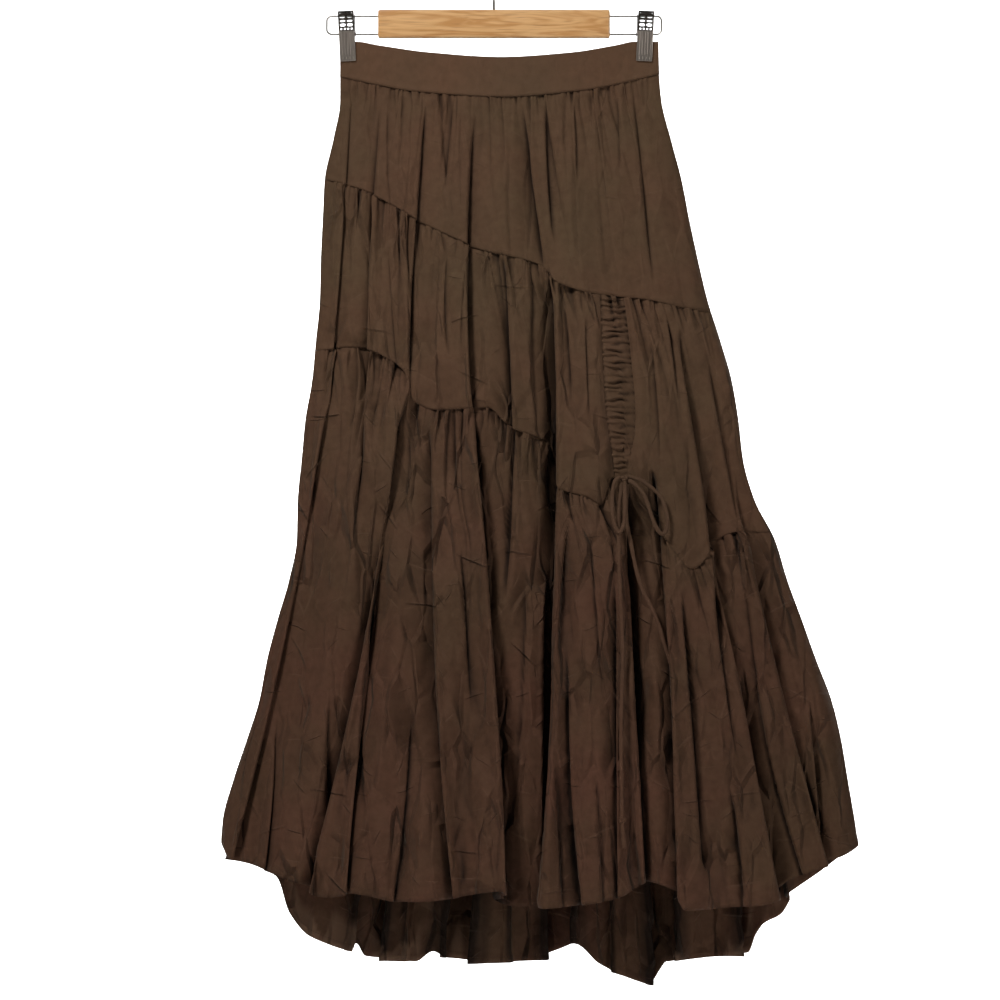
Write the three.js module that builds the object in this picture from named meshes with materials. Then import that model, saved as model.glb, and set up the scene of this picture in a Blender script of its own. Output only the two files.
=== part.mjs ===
// A tiered ruffle skirt of brown cotton lawn, held by two metal clips on a wooden bar hanger.
// Millimetres, +Z up, the garment's front faces -Y. The origin is the top of the hook's inside,
// where a rail carries it. A "drop" is a distance below that rail, so z = -drop.
import * as THREE from 'three';

// Driving dimensions
const seamGap = 0.3;
const clothWall = 1.6;
const bandWall = 2.2;
const cordThickness = 4.4;
const hookWire = 3.2;
const loopWire = 2.1;

const bar = { width: 241.2, height: 29.6, thickness: 11, top: 62, corner: 3, bevel: 1.2 };
const loop = { upper: 68.6, lower: 87.4, leftEnd: -173.8, rightEnd: 174.2, corner: 5 };
const clip = { width: 16.6, height: 52.4, top: 63, plate: 1, tilt: 0.048, leftX: -153, rightX: 157.2 };
const saddle = { width: 12, height: 2.8 };

// Colours of the photographed pieces, with roughness and metalness
const finishes = {
  lawn: { color: 0x4a3829, roughness: 0.85, metalness: 0 },
  tie: { color: 0x5a4636, roughness: 0.8, metalness: 0 },
  wood: { color: 0xb88d5c, roughness: 0.45, metalness: 0 },
  steel: { color: 0x8c8680, roughness: 0.35, metalness: 0.9 },
};

// The garment's outline from the front, and half its depth from the side, a row for each height
const outline = [
  { drop: 95, left: -160, right: 171, depth: 11 },
  { drop: 132, left: -160, right: 172, depth: 14 },
  { drop: 156, left: -160, right: 174, depth: 17 },
  { drop: 197, left: -167, right: 184, depth: 23 },
  { drop: 239, left: -176, right: 195, depth: 29 },
  { drop: 280, left: -178, right: 203, depth: 34 },
  { drop: 322, left: -180, right: 212, depth: 38 },
  { drop: 364, left: -181, right: 222, depth: 42 },
  { drop: 405, left: -185, right: 235, depth: 47 },
  { drop: 447, left: -189, right: 247, depth: 51 },
  { drop: 488, left: -196, right: 254, depth: 55 },
  { drop: 530, left: -200, right: 259, depth: 59 },
  { drop: 572, left: -204, right: 271, depth: 64 },
  { drop: 613, left: -205, right: 292, depth: 69 },
  { drop: 655, left: -213, right: 305, depth: 74 },
  { drop: 696, left: -225, right: 320, depth: 79 },
  { drop: 738, left: -236, right: 335, depth: 84 },
  { drop: 780, left: -244, right: 351, depth: 89 },
  { drop: 821, left: -257, right: 361, depth: 93 },
  { drop: 863, left: -271, right: 368, depth: 97 },
  { drop: 904, left: -282, right: 375, depth: 101 },
  { drop: 930, left: -284, right: 379, depth: 103 },
  { drop: 988, left: -296, right: 392, depth: 106 },
  { drop: 1081, left: -315, right: 412, depth: 108 },
];

// Seams and hems as seen from the front
const bandTop = [
  { x: -160, drop: 95 }, { x: -143, drop: 95 }, { x: -119, drop: 99 }, { x: -66, drop: 107 }, { x: 7, drop: 112 },
  { x: 79, drop: 107 }, { x: 126, drop: 99 }, { x: 146, drop: 95 }, { x: 171, drop: 95 },
];
const bandSeam = [
  { x: -160, drop: 131 }, { x: -119, drop: 140 }, { x: -82, drop: 147 }, { x: 10, drop: 153 },
  { x: 90, drop: 146 }, { x: 131, drop: 138 }, { x: 172, drop: 128 },
];
const frontYokeSeam = [
  { x: -176, drop: 238 }, { x: -145, drop: 246 }, { x: -110, drop: 263 }, { x: -81, drop: 280 },
  { x: -50, drop: 296 }, { x: -10, drop: 313 }, { x: 44, drop: 327 }, { x: 67, drop: 347 },
  { x: 104, drop: 358 }, { x: 161, drop: 364 }, { x: 192, drop: 371 }, { x: 225, drop: 376 },
];
const frontMiddleSeam = [
  { x: -186, drop: 416 }, { x: -146, drop: 413 }, { x: -126, drop: 417 }, { x: -108, drop: 426 },
  { x: -93, drop: 438 }, { x: -81, drop: 470 }, { x: -60, drop: 478 }, { x: -5, drop: 476 },
  { x: 12, drop: 494 }, { x: 49, drop: 511 }, { x: 66, drop: 559 }, { x: 95, drop: 568 },
  { x: 110, drop: 576 }, { x: 124, drop: 548 }, { x: 136, drop: 548 }, { x: 150, drop: 572 },
  { x: 173, drop: 608 }, { x: 203, drop: 642 }, { x: 227, drop: 621 }, { x: 254, drop: 604 }, { x: 289, drop: 605 },
];
const frontHem = [
  { x: -284, drop: 928 }, { x: -274, drop: 943 }, { x: -256, drop: 946 }, { x: -206, drop: 965 },
  { x: -173, drop: 979 }, { x: -140, drop: 974 }, { x: -100, drop: 982 }, { x: -57, drop: 980 },
  { x: 6, drop: 970 }, { x: 27, drop: 988 }, { x: 79, drop: 986 }, { x: 130, drop: 976 },
  { x: 159, drop: 962 }, { x: 185, drop: 976 }, { x: 195, drop: 990 }, { x: 266, drop: 987 },
  { x: 299, drop: 980 }, { x: 313, drop: 961 }, { x: 349, drop: 948 }, { x: 379, drop: 931 },
];
const backYokeSeam = [
  { x: -176, drop: 238 }, { x: -90, drop: 262 }, { x: 15, drop: 305 }, { x: 120, drop: 350 }, { x: 225, drop: 376 },
];
const backMiddleSeam = [
  { x: -186, drop: 416 }, { x: -100, drop: 440 }, { x: 10, drop: 500 }, { x: 120, drop: 558 },
  { x: 210, drop: 590 }, { x: 289, drop: 605 },
];
const backHem = [
  { x: -284, drop: 928 }, { x: -241, drop: 962 }, { x: -212, drop: 1020 }, { x: -153, drop: 1054 },
  { x: -60, drop: 1066 }, { x: 6, drop: 1067 }, { x: 70, drop: 1062 }, { x: 94, drop: 1050 },
  { x: 132, drop: 1075 }, { x: 163, drop: 1086 }, { x: 182, drop: 1063 }, { x: 268, drop: 1052 },
  { x: 289, drop: 1014 }, { x: 318, drop: 981 }, { x: 349, drop: 955 }, { x: 379, drop: 931 },
];

// The ruched channel down the front of the middle tier
const channel = [
  { drop: 350, left: 109, right: 133 }, { drop: 420, left: 112, right: 141 }, { drop: 486, left: 116, right: 146 },
  { drop: 520, left: 121, right: 143 }, { drop: 552, left: 125, right: 136 },
];
const ruche = { rowsPerStep: 8, height: 1.3 };

// Largest folds: where each trough starts and ends, its place at the top, middle and bottom,
// its depth at the top and bottom, and its half width
const frontFolds = [
  { from: 140, to: 499, x: [-147, -156, -171], depth: [4, 7], width: 9 },
  { from: 460, to: 1010, x: [-168, -216, -284], depth: [8, 13], width: 11 },
  { from: 150, to: 572, x: [-118, -132, -137], depth: [4, 8], width: 9 },
  { from: 540, to: 1010, x: [-105, -150, -203], depth: [5, 13], width: 12 },
  { from: 145, to: 478, x: [-68, -79, -86], depth: [6, 6], width: 9 },
  { from: 450, to: 1010, x: [-87, -125, -149], depth: [6, 10], width: 10 },
  { from: 150, to: 269, x: [-42, -47, -52], depth: [4, 3], width: 8 },
  { from: 155, to: 520, x: [-17, -24, -15], depth: [4, 13], width: 10 },
  { from: 480, to: 1010, x: [-17, 6, 20], depth: [14, 19], width: 12 },
  { from: 300, to: 696, x: [7, 16, 14], depth: [5, 7], width: 9 },
  { from: 155, to: 348, x: [29, 38, 53], depth: [5, 12], width: 10 },
  { from: 322, to: 1010, x: [56, 57, 44], depth: [16, 21], width: 12 },
  { from: 150, to: 317, x: [54, 57, 63], depth: [5, 5], width: 8 },
  { from: 146, to: 260, x: [82, 86, 85], depth: [4, 3], width: 8 },
  { from: 142, to: 249, x: [127, 129, 131], depth: [4, 3], width: 8 },
  { from: 136, to: 364, x: [145, 156, 167], depth: [4, 4], width: 9 },
  { from: 540, to: 1010, x: [164, 176, 184], depth: [13, 11], width: 10 },
  { from: 384, to: 1010, x: [191, 245, 305], depth: [5, 16], width: 12 },
  { from: 540, to: 1010, x: [252, 304, 367], depth: [12, 10], width: 10 },
  { from: 560, to: 1010, x: [138, 148, 160], depth: [14, 12], width: 9 },
  { from: 640, to: 1010, x: [123, 122, 124], depth: [7, 7], width: 9 },
  { from: 490, to: 1010, x: [-66, -64, -42], depth: [6, 12], width: 10 },
  { from: 655, to: 956, x: [193, 206, 216], depth: [6, 5], width: 9 },
  { from: 717, to: 1010, x: [75, 76, 90], depth: [5, 7], width: 10 },
  { from: 780, to: 1010, x: [-218, -225, -242], depth: [6, 7], width: 10 },
];
const backFolds = [
  { from: 140, to: 480, x: [-120, -126, -132], depth: [5, 7], width: 10 },
  { from: 150, to: 560, x: [-60, -52, -58], depth: [5, 13], width: 11 },
  { from: 156, to: 330, x: [6, 12, 8], depth: [6, 6], width: 9 },
  { from: 150, to: 540, x: [70, 82, 96], depth: [5, 10], width: 11 },
  { from: 142, to: 400, x: [130, 140, 160], depth: [5, 5], width: 9 },
  { from: 430, to: 1110, x: [-160, -196, -244], depth: [5, 12], width: 11 },
  { from: 470, to: 1110, x: [-110, -130, -174], depth: [7, 16], width: 12 },
  { from: 500, to: 1110, x: [-72, -92, -113], depth: [5, 14], width: 11 },
  { from: 520, to: 1110, x: [-34, -44, -68], depth: [7, 15], width: 12 },
  { from: 540, to: 1110, x: [6, -4, -14], depth: [9, 17], width: 12 },
  { from: 560, to: 1110, x: [52, 44, 47], depth: [6, 15], width: 11 },
  { from: 580, to: 1110, x: [94, 92, 92], depth: [8, 16], width: 11 },
  { from: 590, to: 1110, x: [140, 150, 156], depth: [7, 15], width: 12 },
  { from: 600, to: 1110, x: [180, 196, 204], depth: [6, 14], width: 11 },
  { from: 605, to: 1110, x: [216, 240, 256], depth: [7, 15], width: 12 },
  { from: 620, to: 1110, x: [250, 296, 334], depth: [6, 13], width: 12 },
];

// Gathers sewn into the seam above each tier, and the ruffle waves that grow towards its lower edge
const tierGathers = {
  yoke: { count: 22, height: 2.2, reach: 70, puff: 1.0, waves: 5, waveHeight: 1.5, sewnBelow: true },
  middle: { count: 24, height: 2.4, reach: 60, puff: 2.4, waves: 6, waveHeight: 2.5, sewnBelow: true },
  lower: { count: 26, height: 3.0, reach: 75, puff: 3.0, waves: 9, waveHeight: 7, sewnBelow: false },
};

// The tie's knot at the channel's lower end, the small knot near the long tail's end,
// and the routes of its loops and tails, chosen by hand over the garment's front
const bowKnot = { x: 134, y: -62.8, drop: 549.5, wide: 9, deep: 10, tall: 7 };
const endKnot = { x: 130.7, y: -103.8, drop: 897.5, wide: 8, deep: 7, tall: 9 };
const tieRoutes = {
  tie_tail_left: [
    { x: 131.6, y: -60.2, drop: 553.8 }, { x: 130.6, y: -63.6, drop: 563 }, { x: 128.8, y: -67.8, drop: 577 },
    { x: 127.8, y: -71.2, drop: 605 }, { x: 128, y: -73.4, drop: 629 }, { x: 129.4, y: -75.4, drop: 668 },
    { x: 131, y: -77.8, drop: 701 }, { x: 131.8, y: -81.4, drop: 726 }, { x: 131, y: -87.2, drop: 761 },
    { x: 130, y: -91.8, drop: 790 }, { x: 129.8, y: -94.8, drop: 815 }, { x: 130, y: -97.6, drop: 845 },
    { x: 130.4, y: -100.6, drop: 875 }, { x: 130.6, y: -102.8, drop: 892.6 },
  ],
  tie_tail_end: [
    { x: 131, y: -104.4, drop: 902.4 }, { x: 131.8, y: -105.6, drop: 914 }, { x: 133, y: -106.6, drop: 925 },
  ],
  tie_tail_right: [
    { x: 136.8, y: -60.4, drop: 553.8 }, { x: 136.2, y: -63.6, drop: 566 }, { x: 135.6, y: -65, drop: 589 },
    { x: 140, y: -66, drop: 613 }, { x: 146, y: -69, drop: 643 }, { x: 153, y: -72.2, drop: 665 },
    { x: 161, y: -72.4, drop: 681 }, { x: 169, y: -71.6, drop: 700 }, { x: 174.6, y: -72, drop: 719 },
    { x: 181, y: -74, drop: 738 }, { x: 187, y: -76.8, drop: 756 }, { x: 188.6, y: -78.4, drop: 766 },
  ],
  tie_loop_left: [
    { x: 128.2, y: -63, drop: 548.6 }, { x: 124.4, y: -64.6, drop: 552 }, { x: 121.8, y: -67.4, drop: 562 },
    { x: 121.2, y: -72.4, drop: 580 }, { x: 123.4, y: -75.4, drop: 596 }, { x: 128.2, y: -76.8, drop: 604.4 },
    { x: 132.8, y: -76.4, drop: 597 }, { x: 134.2, y: -73.8, drop: 582 }, { x: 134.4, y: -70, drop: 566 },
    { x: 134.3, y: -66.8, drop: 553.6 },
  ],
  tie_loop_right: [
    { x: 138.9, y: -61.4, drop: 547.6 }, { x: 145, y: -61.2, drop: 549.4 }, { x: 152, y: -60, drop: 552 },
    { x: 160, y: -58.6, drop: 556 }, { x: 168, y: -57.8, drop: 561.5 }, { x: 175, y: -58, drop: 569 },
    { x: 179.4, y: -58.6, drop: 580 }, { x: 180.2, y: -59, drop: 592 }, { x: 177.8, y: -60, drop: 602.6 },
    { x: 172.6, y: -62, drop: 606.6 }, { x: 167.4, y: -63, drop: 601 }, { x: 163, y: -63.4, drop: 591 },
    { x: 158.6, y: -63.2, drop: 578 }, { x: 154.6, y: -63.8, drop: 567.4 }, { x: 149, y: -65.2, drop: 559.6 },
    { x: 143.6, y: -66, drop: 554.6 }, { x: 138.9, y: -66, drop: 551.8 },
  ],
};

// A smooth curve through a table's rows that never swings past them
function curveThrough(rows, key, value) {
  const steps = rows.slice(1).map((row, i) => (row[value] - rows[i][value]) / (row[key] - rows[i][key]));
  const slopes = rows.map((row, i) => {
    if (i === 0 || i === rows.length - 1) return steps[Math.min(i, steps.length - 1)];
    const [before, after] = [steps[i - 1], steps[i]];
    return before * after <= 0 ? 0 : (2 * before * after) / (before + after);
  });
  return (at) => {
    let i = 0;
    while (i < rows.length - 2 && at > rows[i + 1][key]) i += 1;
    const span = rows[i + 1][key] - rows[i][key];
    const t = THREE.MathUtils.clamp((at - rows[i][key]) / span, 0, 1);
    const rise = rows[i + 1][value] - rows[i][value];
    const [a, b] = [slopes[i] * span, slopes[i + 1] * span];
    return rows[i][value] + a * t + (3 * rise - 2 * a - b) * t * t + (a + b - 2 * rise) * t * t * t;
  };
}

const leftAt = curveThrough(outline, 'drop', 'left');
const rightAt = curveThrough(outline, 'drop', 'right');
const depthAt = curveThrough(outline, 'drop', 'depth');
const middleAt = (drop) => (leftAt(drop) + rightAt(drop)) / 2;
const halfWidthAt = (drop) => (rightAt(drop) - leftAt(drop)) / 2;

// "Across" runs from -1 at the left side seam to 1 at the right side seam, at every height
const acrossOf = (x, drop) => THREE.MathUtils.clamp((x - middleAt(drop)) / halfWidthAt(drop), -1, 1);

function edgeThrough(rows) {
  return curveThrough(rows.map((row) => ({ across: acrossOf(row.x, row.drop), drop: row.drop })), 'across', 'drop');
}

const edges = {
  bandTop: edgeThrough(bandTop),
  bandSeam: edgeThrough(bandSeam),
  front: { yoke: edgeThrough(frontYokeSeam), middle: edgeThrough(frontMiddleSeam), hem: edgeThrough(frontHem) },
  back: { yoke: edgeThrough(backYokeSeam), middle: edgeThrough(backMiddleSeam), hem: edgeThrough(backHem) },
};

// How full the section is: flat where the clips pinch it, a thin lens at the waist, rounder below
const pinch = { flatBeyond: 0.86, endsAt: 119, openAt: 230 };
function fullness(across, drop) {
  const inner = Math.max(0, 1 - (across / pinch.flatBeyond) ** 2) ** 1.3;
  const round = Math.max(0, 1 - across * across) ** 0.62;
  const opening = THREE.MathUtils.smoothstep(drop, pinch.endsAt, pinch.openAt);
  return THREE.MathUtils.lerp(inner, round, opening);
}

function foldRelief(folds, x, drop) {
  let relief = 0;
  for (const fold of folds) {
    const t = (drop - fold.from) / (fold.to - fold.from);
    if (t <= 0 || t >= 1) continue;
    const [top, middle, bottom] = fold.x;
    const place = top * (1 - t) * (1 - 2 * t) + middle * 4 * t * (1 - t) + bottom * t * (2 * t - 1);
    const ramp = THREE.MathUtils.smoothstep(drop, fold.from, fold.from + 40)
      * (1 - THREE.MathUtils.smoothstep(drop, fold.to - 30, fold.to));
    const depth = THREE.MathUtils.lerp(fold.depth[0], fold.depth[1], t) * ramp;
    relief -= depth * Math.exp(-(((x - place) / fold.width) ** 2));
  }
  return relief;
}

function carrier(face, across, drop, proud = 0) {
  const x = middleAt(drop) + halfWidthAt(drop) * across;
  const full = depthAt(drop) * fullness(across, drop);
  const relief = foldRelief(face.folds, x, drop) + proud;
  const room = 0.62 * full + 0.001;
  const y = full + Math.max(0, relief) - room * Math.tanh(Math.max(0, -relief) / room);
  return new THREE.Vector3(x, face.sign * y, -drop);
}

function carrierNormal(face, across, drop) {
  const reach = 0.012;
  const near = Math.max(-1, across - reach);
  const far = Math.min(1, across + reach);
  const sideways = carrier(face, far, drop).sub(carrier(face, near, drop));
  const downwards = carrier(face, across, drop + 4).sub(carrier(face, across, drop - 4));
  const normal = downwards.cross(sideways).normalize();
  return face.sign < 0 ? normal : normal.negate();
}

// Uneven gathers below a seam: strongest just under it, fading with the distance from it.
// A tier that is sewn on along its lower edge lies flat again there.
function gatherRelief(face, tier, across, below, left) {
  const drift = 0.9 * Math.sin(5.3 * across + face.seed) + 0.6 * Math.sin(11.7 * across + 2 * face.seed);
  const phase = Math.PI * (tier.count * (across + 1) / 2) * 2 + drift * 2;
  const uneven = 0.72 + 0.28 * Math.sin(7.9 * across + 3 * face.seed);
  const rise = 1 - Math.exp(-below / 7);
  const fade = Math.exp(-below / tier.reach);
  const settled = tier.sewnBelow ? THREE.MathUtils.smoothstep(left, 0, 34) : 1;
  const waves = tier.waveHeight * (below / (below + Math.max(0, left)))
    * Math.sin(Math.PI * tier.waves * across + 2.2 * Math.sin(3.1 * across + face.seed));
  const calmSides = THREE.MathUtils.smoothstep(1 - Math.abs(across), 0, 0.1);
  return calmSides * rise * settled * (tier.puff + tier.height * fade * uneven * Math.cos(phase) + waves);
}

// Column lines run through all tiers of a face, so that pieces meet point to point at their seams.
// On the front two of them are the channel's sides.
const channelLeft = curveThrough(channel, 'drop', 'left');
const channelRight = curveThrough(channel, 'drop', 'right');
const strip = { from: 0.44, to: 0.57 };
const sideCrowding = 0.42;

function columnShares(count, from, to, crowdStart, crowdEnd) {
  return Array.from({ length: count }, (_, j) => {
    const u = j / count;
    let eased = u;
    if (crowdStart && crowdEnd) eased = (1 - Math.cos(Math.PI * u)) / 2;
    else if (crowdStart) eased = 1 - Math.cos((Math.PI * u) / 2);
    else if (crowdEnd) eased = Math.sin((Math.PI * u) / 2);
    return THREE.MathUtils.lerp(from, to, THREE.MathUtils.lerp(u, eased, sideCrowding));
  });
}

const frontColumns = {
  left: [...columnShares(36, -1, strip.from, true, false), strip.from],
  strip: [...columnShares(3, strip.from, strip.to, false, false), strip.to],
  right: [...columnShares(13, strip.to, 1, false, true), 1],
};
frontColumns.all = [...frontColumns.left, ...frontColumns.strip.slice(1), ...frontColumns.right.slice(1)];
const backColumns = [...columnShares(42, -1, 1, true, true), 1];

function acrossOnFront(share, drop) {
  const left = acrossOf(channelLeft(drop), drop);
  const right = acrossOf(channelRight(drop), drop);
  if (share < strip.from) return THREE.MathUtils.mapLinear(share, -1, strip.from, -1, left);
  if (share > strip.to) return THREE.MathUtils.mapLinear(share, strip.to, 1, right, 1);
  return THREE.MathUtils.mapLinear(share, strip.from, strip.to, left, right);
}

// The two faces that carry the gathers: the section's own form with its largest folds
const faces = {
  front: {
    sign: -1, folds: frontFolds, edges: edges.front, seed: 0.4, columns: frontColumns.all, acrossOf: acrossOnFront,
  },
  back: {
    sign: 1, folds: backFolds, edges: edges.back, seed: 2.1, columns: backColumns, acrossOf: (share) => share,
  },
};

// A cloth piece: its face, wall, tier, upper and lower edges, column lines and number of rows
function clothPanel(panel) {
  const { face, wall, tier, top, bottom, columns, rows, crowding } = panel;
  const outer = [];
  const inner = [];
  const spot = (share, v) => {
    let drop = top(0);
    let across = 0;
    let above = 0;
    let below = 0;
    for (let pass = 0; pass < 8; pass += 1) {
      across = face.acrossOf(share, drop);
      above = top(across) + edgeClearance(top, across);
      below = bottom(across) - edgeClearance(bottom, across);
      drop = THREE.MathUtils.lerp(above, below, v);
    }
    return { across, drop, above, below };
  };
  for (let i = 0; i <= rows; i += 1) {
    columns.forEach((share, j) => {
      const { across, drop, above, below } = spot(share, (i / rows) ** crowding);
      const normal = carrierNormal(face, across, drop);
      const gathers = tier ? gatherRelief(face, tier, across, drop - above, below - drop) : 0;
      const point = carrier(face, across, drop, gathers);
      point.x += (panel.inset ? panel.inset(j) : 0) * (seamGap / 2);
      point.y += face.sign * (seamGap / 2 + (wall / 2) * Math.abs(normal.y));
      outer.push(point.clone().addScaledVector(normal, wall / 2));
      inner.push(point.clone().addScaledVector(normal, -wall / 2));
    });
  }
  if (panel.ruched) return ruchedWall(outer, inner, columns.length, rows, face);
  return wallGeometry(outer, inner, columns.length - 1, rows, face.sign > 0);
}

// Parts each row of a wall into finer ones and raises every second one into a small ruche
function ruchedWall(outer, inner, across, rows, face) {
  const fine = { outer: [], inner: [] };
  const fineRows = rows * ruche.rowsPerStep;
  for (let i = 0; i <= fineRows; i += 1) {
    const row = Math.min(rows - 1, Math.floor(i / ruche.rowsPerStep));
    const t = i / ruche.rowsPerStep - row;
    const height = (i % 2) * ruche.height * (0.75 + 0.25 * Math.sin(1.7 * i));
    for (let j = 0; j < across; j += 1) {
      const raised = face.sign * height * Math.sin((Math.PI * j) / (across - 1));
      for (const [name, points] of [['outer', outer], ['inner', inner]]) {
        const point = points[row * across + j].clone().lerp(points[(row + 1) * across + j], t);
        point.y += raised;
        fine[name].push(point);
      }
    }
  }
  return wallGeometry(fine.outer, fine.inner, across - 1, fineRows, face.sign > 0);
}

// Half a seam's gap measured down the garment, wider where the seam is steep
function edgeClearance(edge, across) {
  const step = 0.035;
  const run = step * 200;
  const here = edge(across);
  const rise = Math.max(Math.abs(edge(across + step) - here), Math.abs(edge(across - step) - here));
  return (seamGap / 2) * Math.hypot(1, rise / run);
}

// Joins an outer and an inner grid of points into one closed wall
function wallGeometry(outer, inner, columns, rows, flip) {
  const across = columns + 1;
  const count = outer.length;
  const faceList = [];
  const quad = (a, b, c, d) => {
    const order = flip ? [a, c, b, a, d, c] : [a, b, c, a, c, d];
    faceList.push(...order);
  };
  for (let i = 0; i < rows; i += 1) {
    for (let j = 0; j < columns; j += 1) {
      const a = i * across + j;
      quad(a, a + across, a + across + 1, a + 1);
      quad(count + a, count + a + 1, count + a + across + 1, count + a + across);
    }
  }
  for (let j = 0; j < columns; j += 1) {
    const low = rows * across + j;
    quad(j, j + 1, count + j + 1, count + j);
    quad(low, count + low, count + low + 1, low + 1);
  }
  for (let i = 0; i < rows; i += 1) {
    const a = i * across;
    const b = a + columns;
    quad(a, count + a, count + a + across, a + across);
    quad(b, b + across, count + b + across, count + b);
  }
  const geometry = new THREE.BufferGeometry();
  const positions = [...outer, ...inner].flatMap((point) => [point.x, point.y, point.z]);
  geometry.setAttribute('position', new THREE.Float32BufferAttribute(positions, 3));
  geometry.setIndex(faceList);
  geometry.computeVertexNormals();
  return geometry;
}

const skirt = new THREE.Group();
function addPiece(name, geometry, finish) {
  const mesh = new THREE.Mesh(geometry, new THREE.MeshStandardMaterial(finishes[finish]));
  mesh.name = name;
  skirt.add(mesh);
  return mesh;
}

function addCloth() {
  for (const [word, face] of Object.entries(faces)) {
    const columns = face.columns;
    addPiece(`waistband_${word}`, clothPanel({
      face, columns, wall: bandWall, rows: 1, crowding: 1, top: edges.bandTop, bottom: edges.bandSeam,
    }), 'lawn');
    addPiece(`yoke_${word}`, clothPanel({
      face, columns, wall: clothWall, rows: 6, crowding: 1.25, tier: tierGathers.yoke,
      top: edges.bandSeam, bottom: face.edges.yoke,
    }), 'lawn');
    addPiece(`lower_tier_${word}`, clothPanel({
      face, columns, wall: clothWall, rows: 10, crowding: 1.25, tier: tierGathers.lower,
      top: face.edges.middle, bottom: face.edges.hem,
    }), 'lawn');
  }
  const middle = { wall: clothWall, rows: 7, crowding: 1.2, tier: tierGathers.middle };
  addPiece('middle_tier_back', clothPanel({
    ...middle, face: faces.back, columns: backColumns, top: edges.back.yoke, bottom: edges.back.middle,
  }), 'lawn');
  const frontMiddle = { ...middle, face: faces.front, top: edges.front.yoke, bottom: edges.front.middle };
  const lastLeft = frontColumns.left.length - 1;
  addPiece('middle_tier_front_left', clothPanel({
    ...frontMiddle, columns: frontColumns.left, inset: (j) => (j === lastLeft ? -1 : 0),
  }), 'lawn');
  addPiece('middle_tier_front_right', clothPanel({
    ...frontMiddle, columns: frontColumns.right, inset: (j) => (j === 0 ? 1 : 0),
  }), 'lawn');
  const lastStrip = frontColumns.strip.length - 1;
  addPiece('drawstring_channel', clothPanel({
    ...frontMiddle, columns: frontColumns.strip, ruched: true, inset: (j) => (j === 0) - (j === lastStrip),
  }), 'lawn');
}

// A round wire or cord along a route
function roundAlong(route, thickness, sides, steps) {
  const section = new THREE.Shape();
  for (let i = 0; i < sides; i += 1) {
    const angle = (2 * Math.PI * i) / sides;
    const spot = [(thickness / 2) * Math.cos(angle), (thickness / 2) * Math.sin(angle)];
    if (i === 0) section.moveTo(...spot);
    else section.lineTo(...spot);
  }
  section.closePath();
  return new THREE.ExtrudeGeometry(section, { steps, bevelEnabled: false, extrudePath: route });
}

function roundedOutline(width, height, corner) {
  const shape = new THREE.Shape();
  const [w, h] = [width / 2, height / 2];
  shape.moveTo(-w + corner, -h);
  shape.lineTo(w - corner, -h);
  shape.absarc(w - corner, -h + corner, corner, -Math.PI / 2, 0);
  shape.lineTo(w, h - corner);
  shape.absarc(w - corner, h - corner, corner, 0, Math.PI / 2);
  shape.lineTo(-w + corner, h);
  shape.absarc(-w + corner, h - corner, corner, Math.PI / 2, Math.PI);
  shape.lineTo(-w, -h + corner);
  shape.absarc(-w + corner, -h + corner, corner, Math.PI, 1.5 * Math.PI);
  return shape;
}

// An upright slab: the outline in the XZ plane, its thickness along Y, centred
function uprightSlab(shape, thickness, bevel, curveSegments) {
  const geometry = new THREE.ExtrudeGeometry(shape, {
    depth: thickness - 2 * bevel, bevelEnabled: bevel > 0, bevelSize: bevel, bevelThickness: bevel,
    bevelOffset: -bevel, bevelSegments: 1, curveSegments,
  });
  geometry.translate(0, 0, -(thickness - 2 * bevel) / 2);
  geometry.rotateX(Math.PI / 2);
  return geometry;
}

function addHanger() {
  const slab = addPiece('hanger_bar', uprightSlab(roundedOutline(bar.width, bar.height, bar.corner), bar.thickness, bar.bevel, 4), 'wood');
  slab.position.z = -(bar.top + bar.height / 2);

  // The hook: a shank out of the bar's middle, an S bend and a round crook over the rail
  const crook = 20;
  const hookTop = hookWire / 2;
  const hookRoute = [new THREE.Vector3(0, 0, -(bar.top - seamGap)), new THREE.Vector3(0, 0, -52), new THREE.Vector3(3, 0, -44)];
  for (let degrees = -50; degrees <= 200; degrees += 25) {
    const angle = THREE.MathUtils.degToRad(degrees);
    hookRoute.push(new THREE.Vector3(crook * Math.cos(angle), 0, hookTop - crook + crook * Math.sin(angle)));
  }
  addPiece('hanger_hook', roundAlong(new THREE.CatmullRomCurve3(hookRoute), hookWire, 8, 34), 'steel');

  // Flat wire loops out of the bar's ends, which the clips ride on
  for (const [word, end, sense] of [['left', loop.leftEnd, -1], ['right', loop.rightEnd, 1]]) {
    const start = sense * (bar.width / 2 + seamGap);
    const bend = end - sense * loop.corner;
    const route = new THREE.CurvePath();
    const spot = (x, drop) => new THREE.Vector3(x, 0, -drop);
    route.add(new THREE.LineCurve3(spot(start, loop.upper), spot(bend, loop.upper)));
    route.add(new THREE.QuadraticBezierCurve3(
      spot(bend, loop.upper), spot(end, loop.upper), spot(end, loop.upper + loop.corner)));
    route.add(new THREE.LineCurve3(spot(end, loop.upper + loop.corner), spot(end, loop.lower - loop.corner)));
    route.add(new THREE.QuadraticBezierCurve3(
      spot(end, loop.lower - loop.corner), spot(end, loop.lower), spot(bend, loop.lower)));
    route.add(new THREE.LineCurve3(spot(bend, loop.lower), spot(start, loop.lower)));
    addPiece(`wire_loop_${word}`, roundAlong(route, loopWire, 6, 40), 'steel');
  }
}

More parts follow.
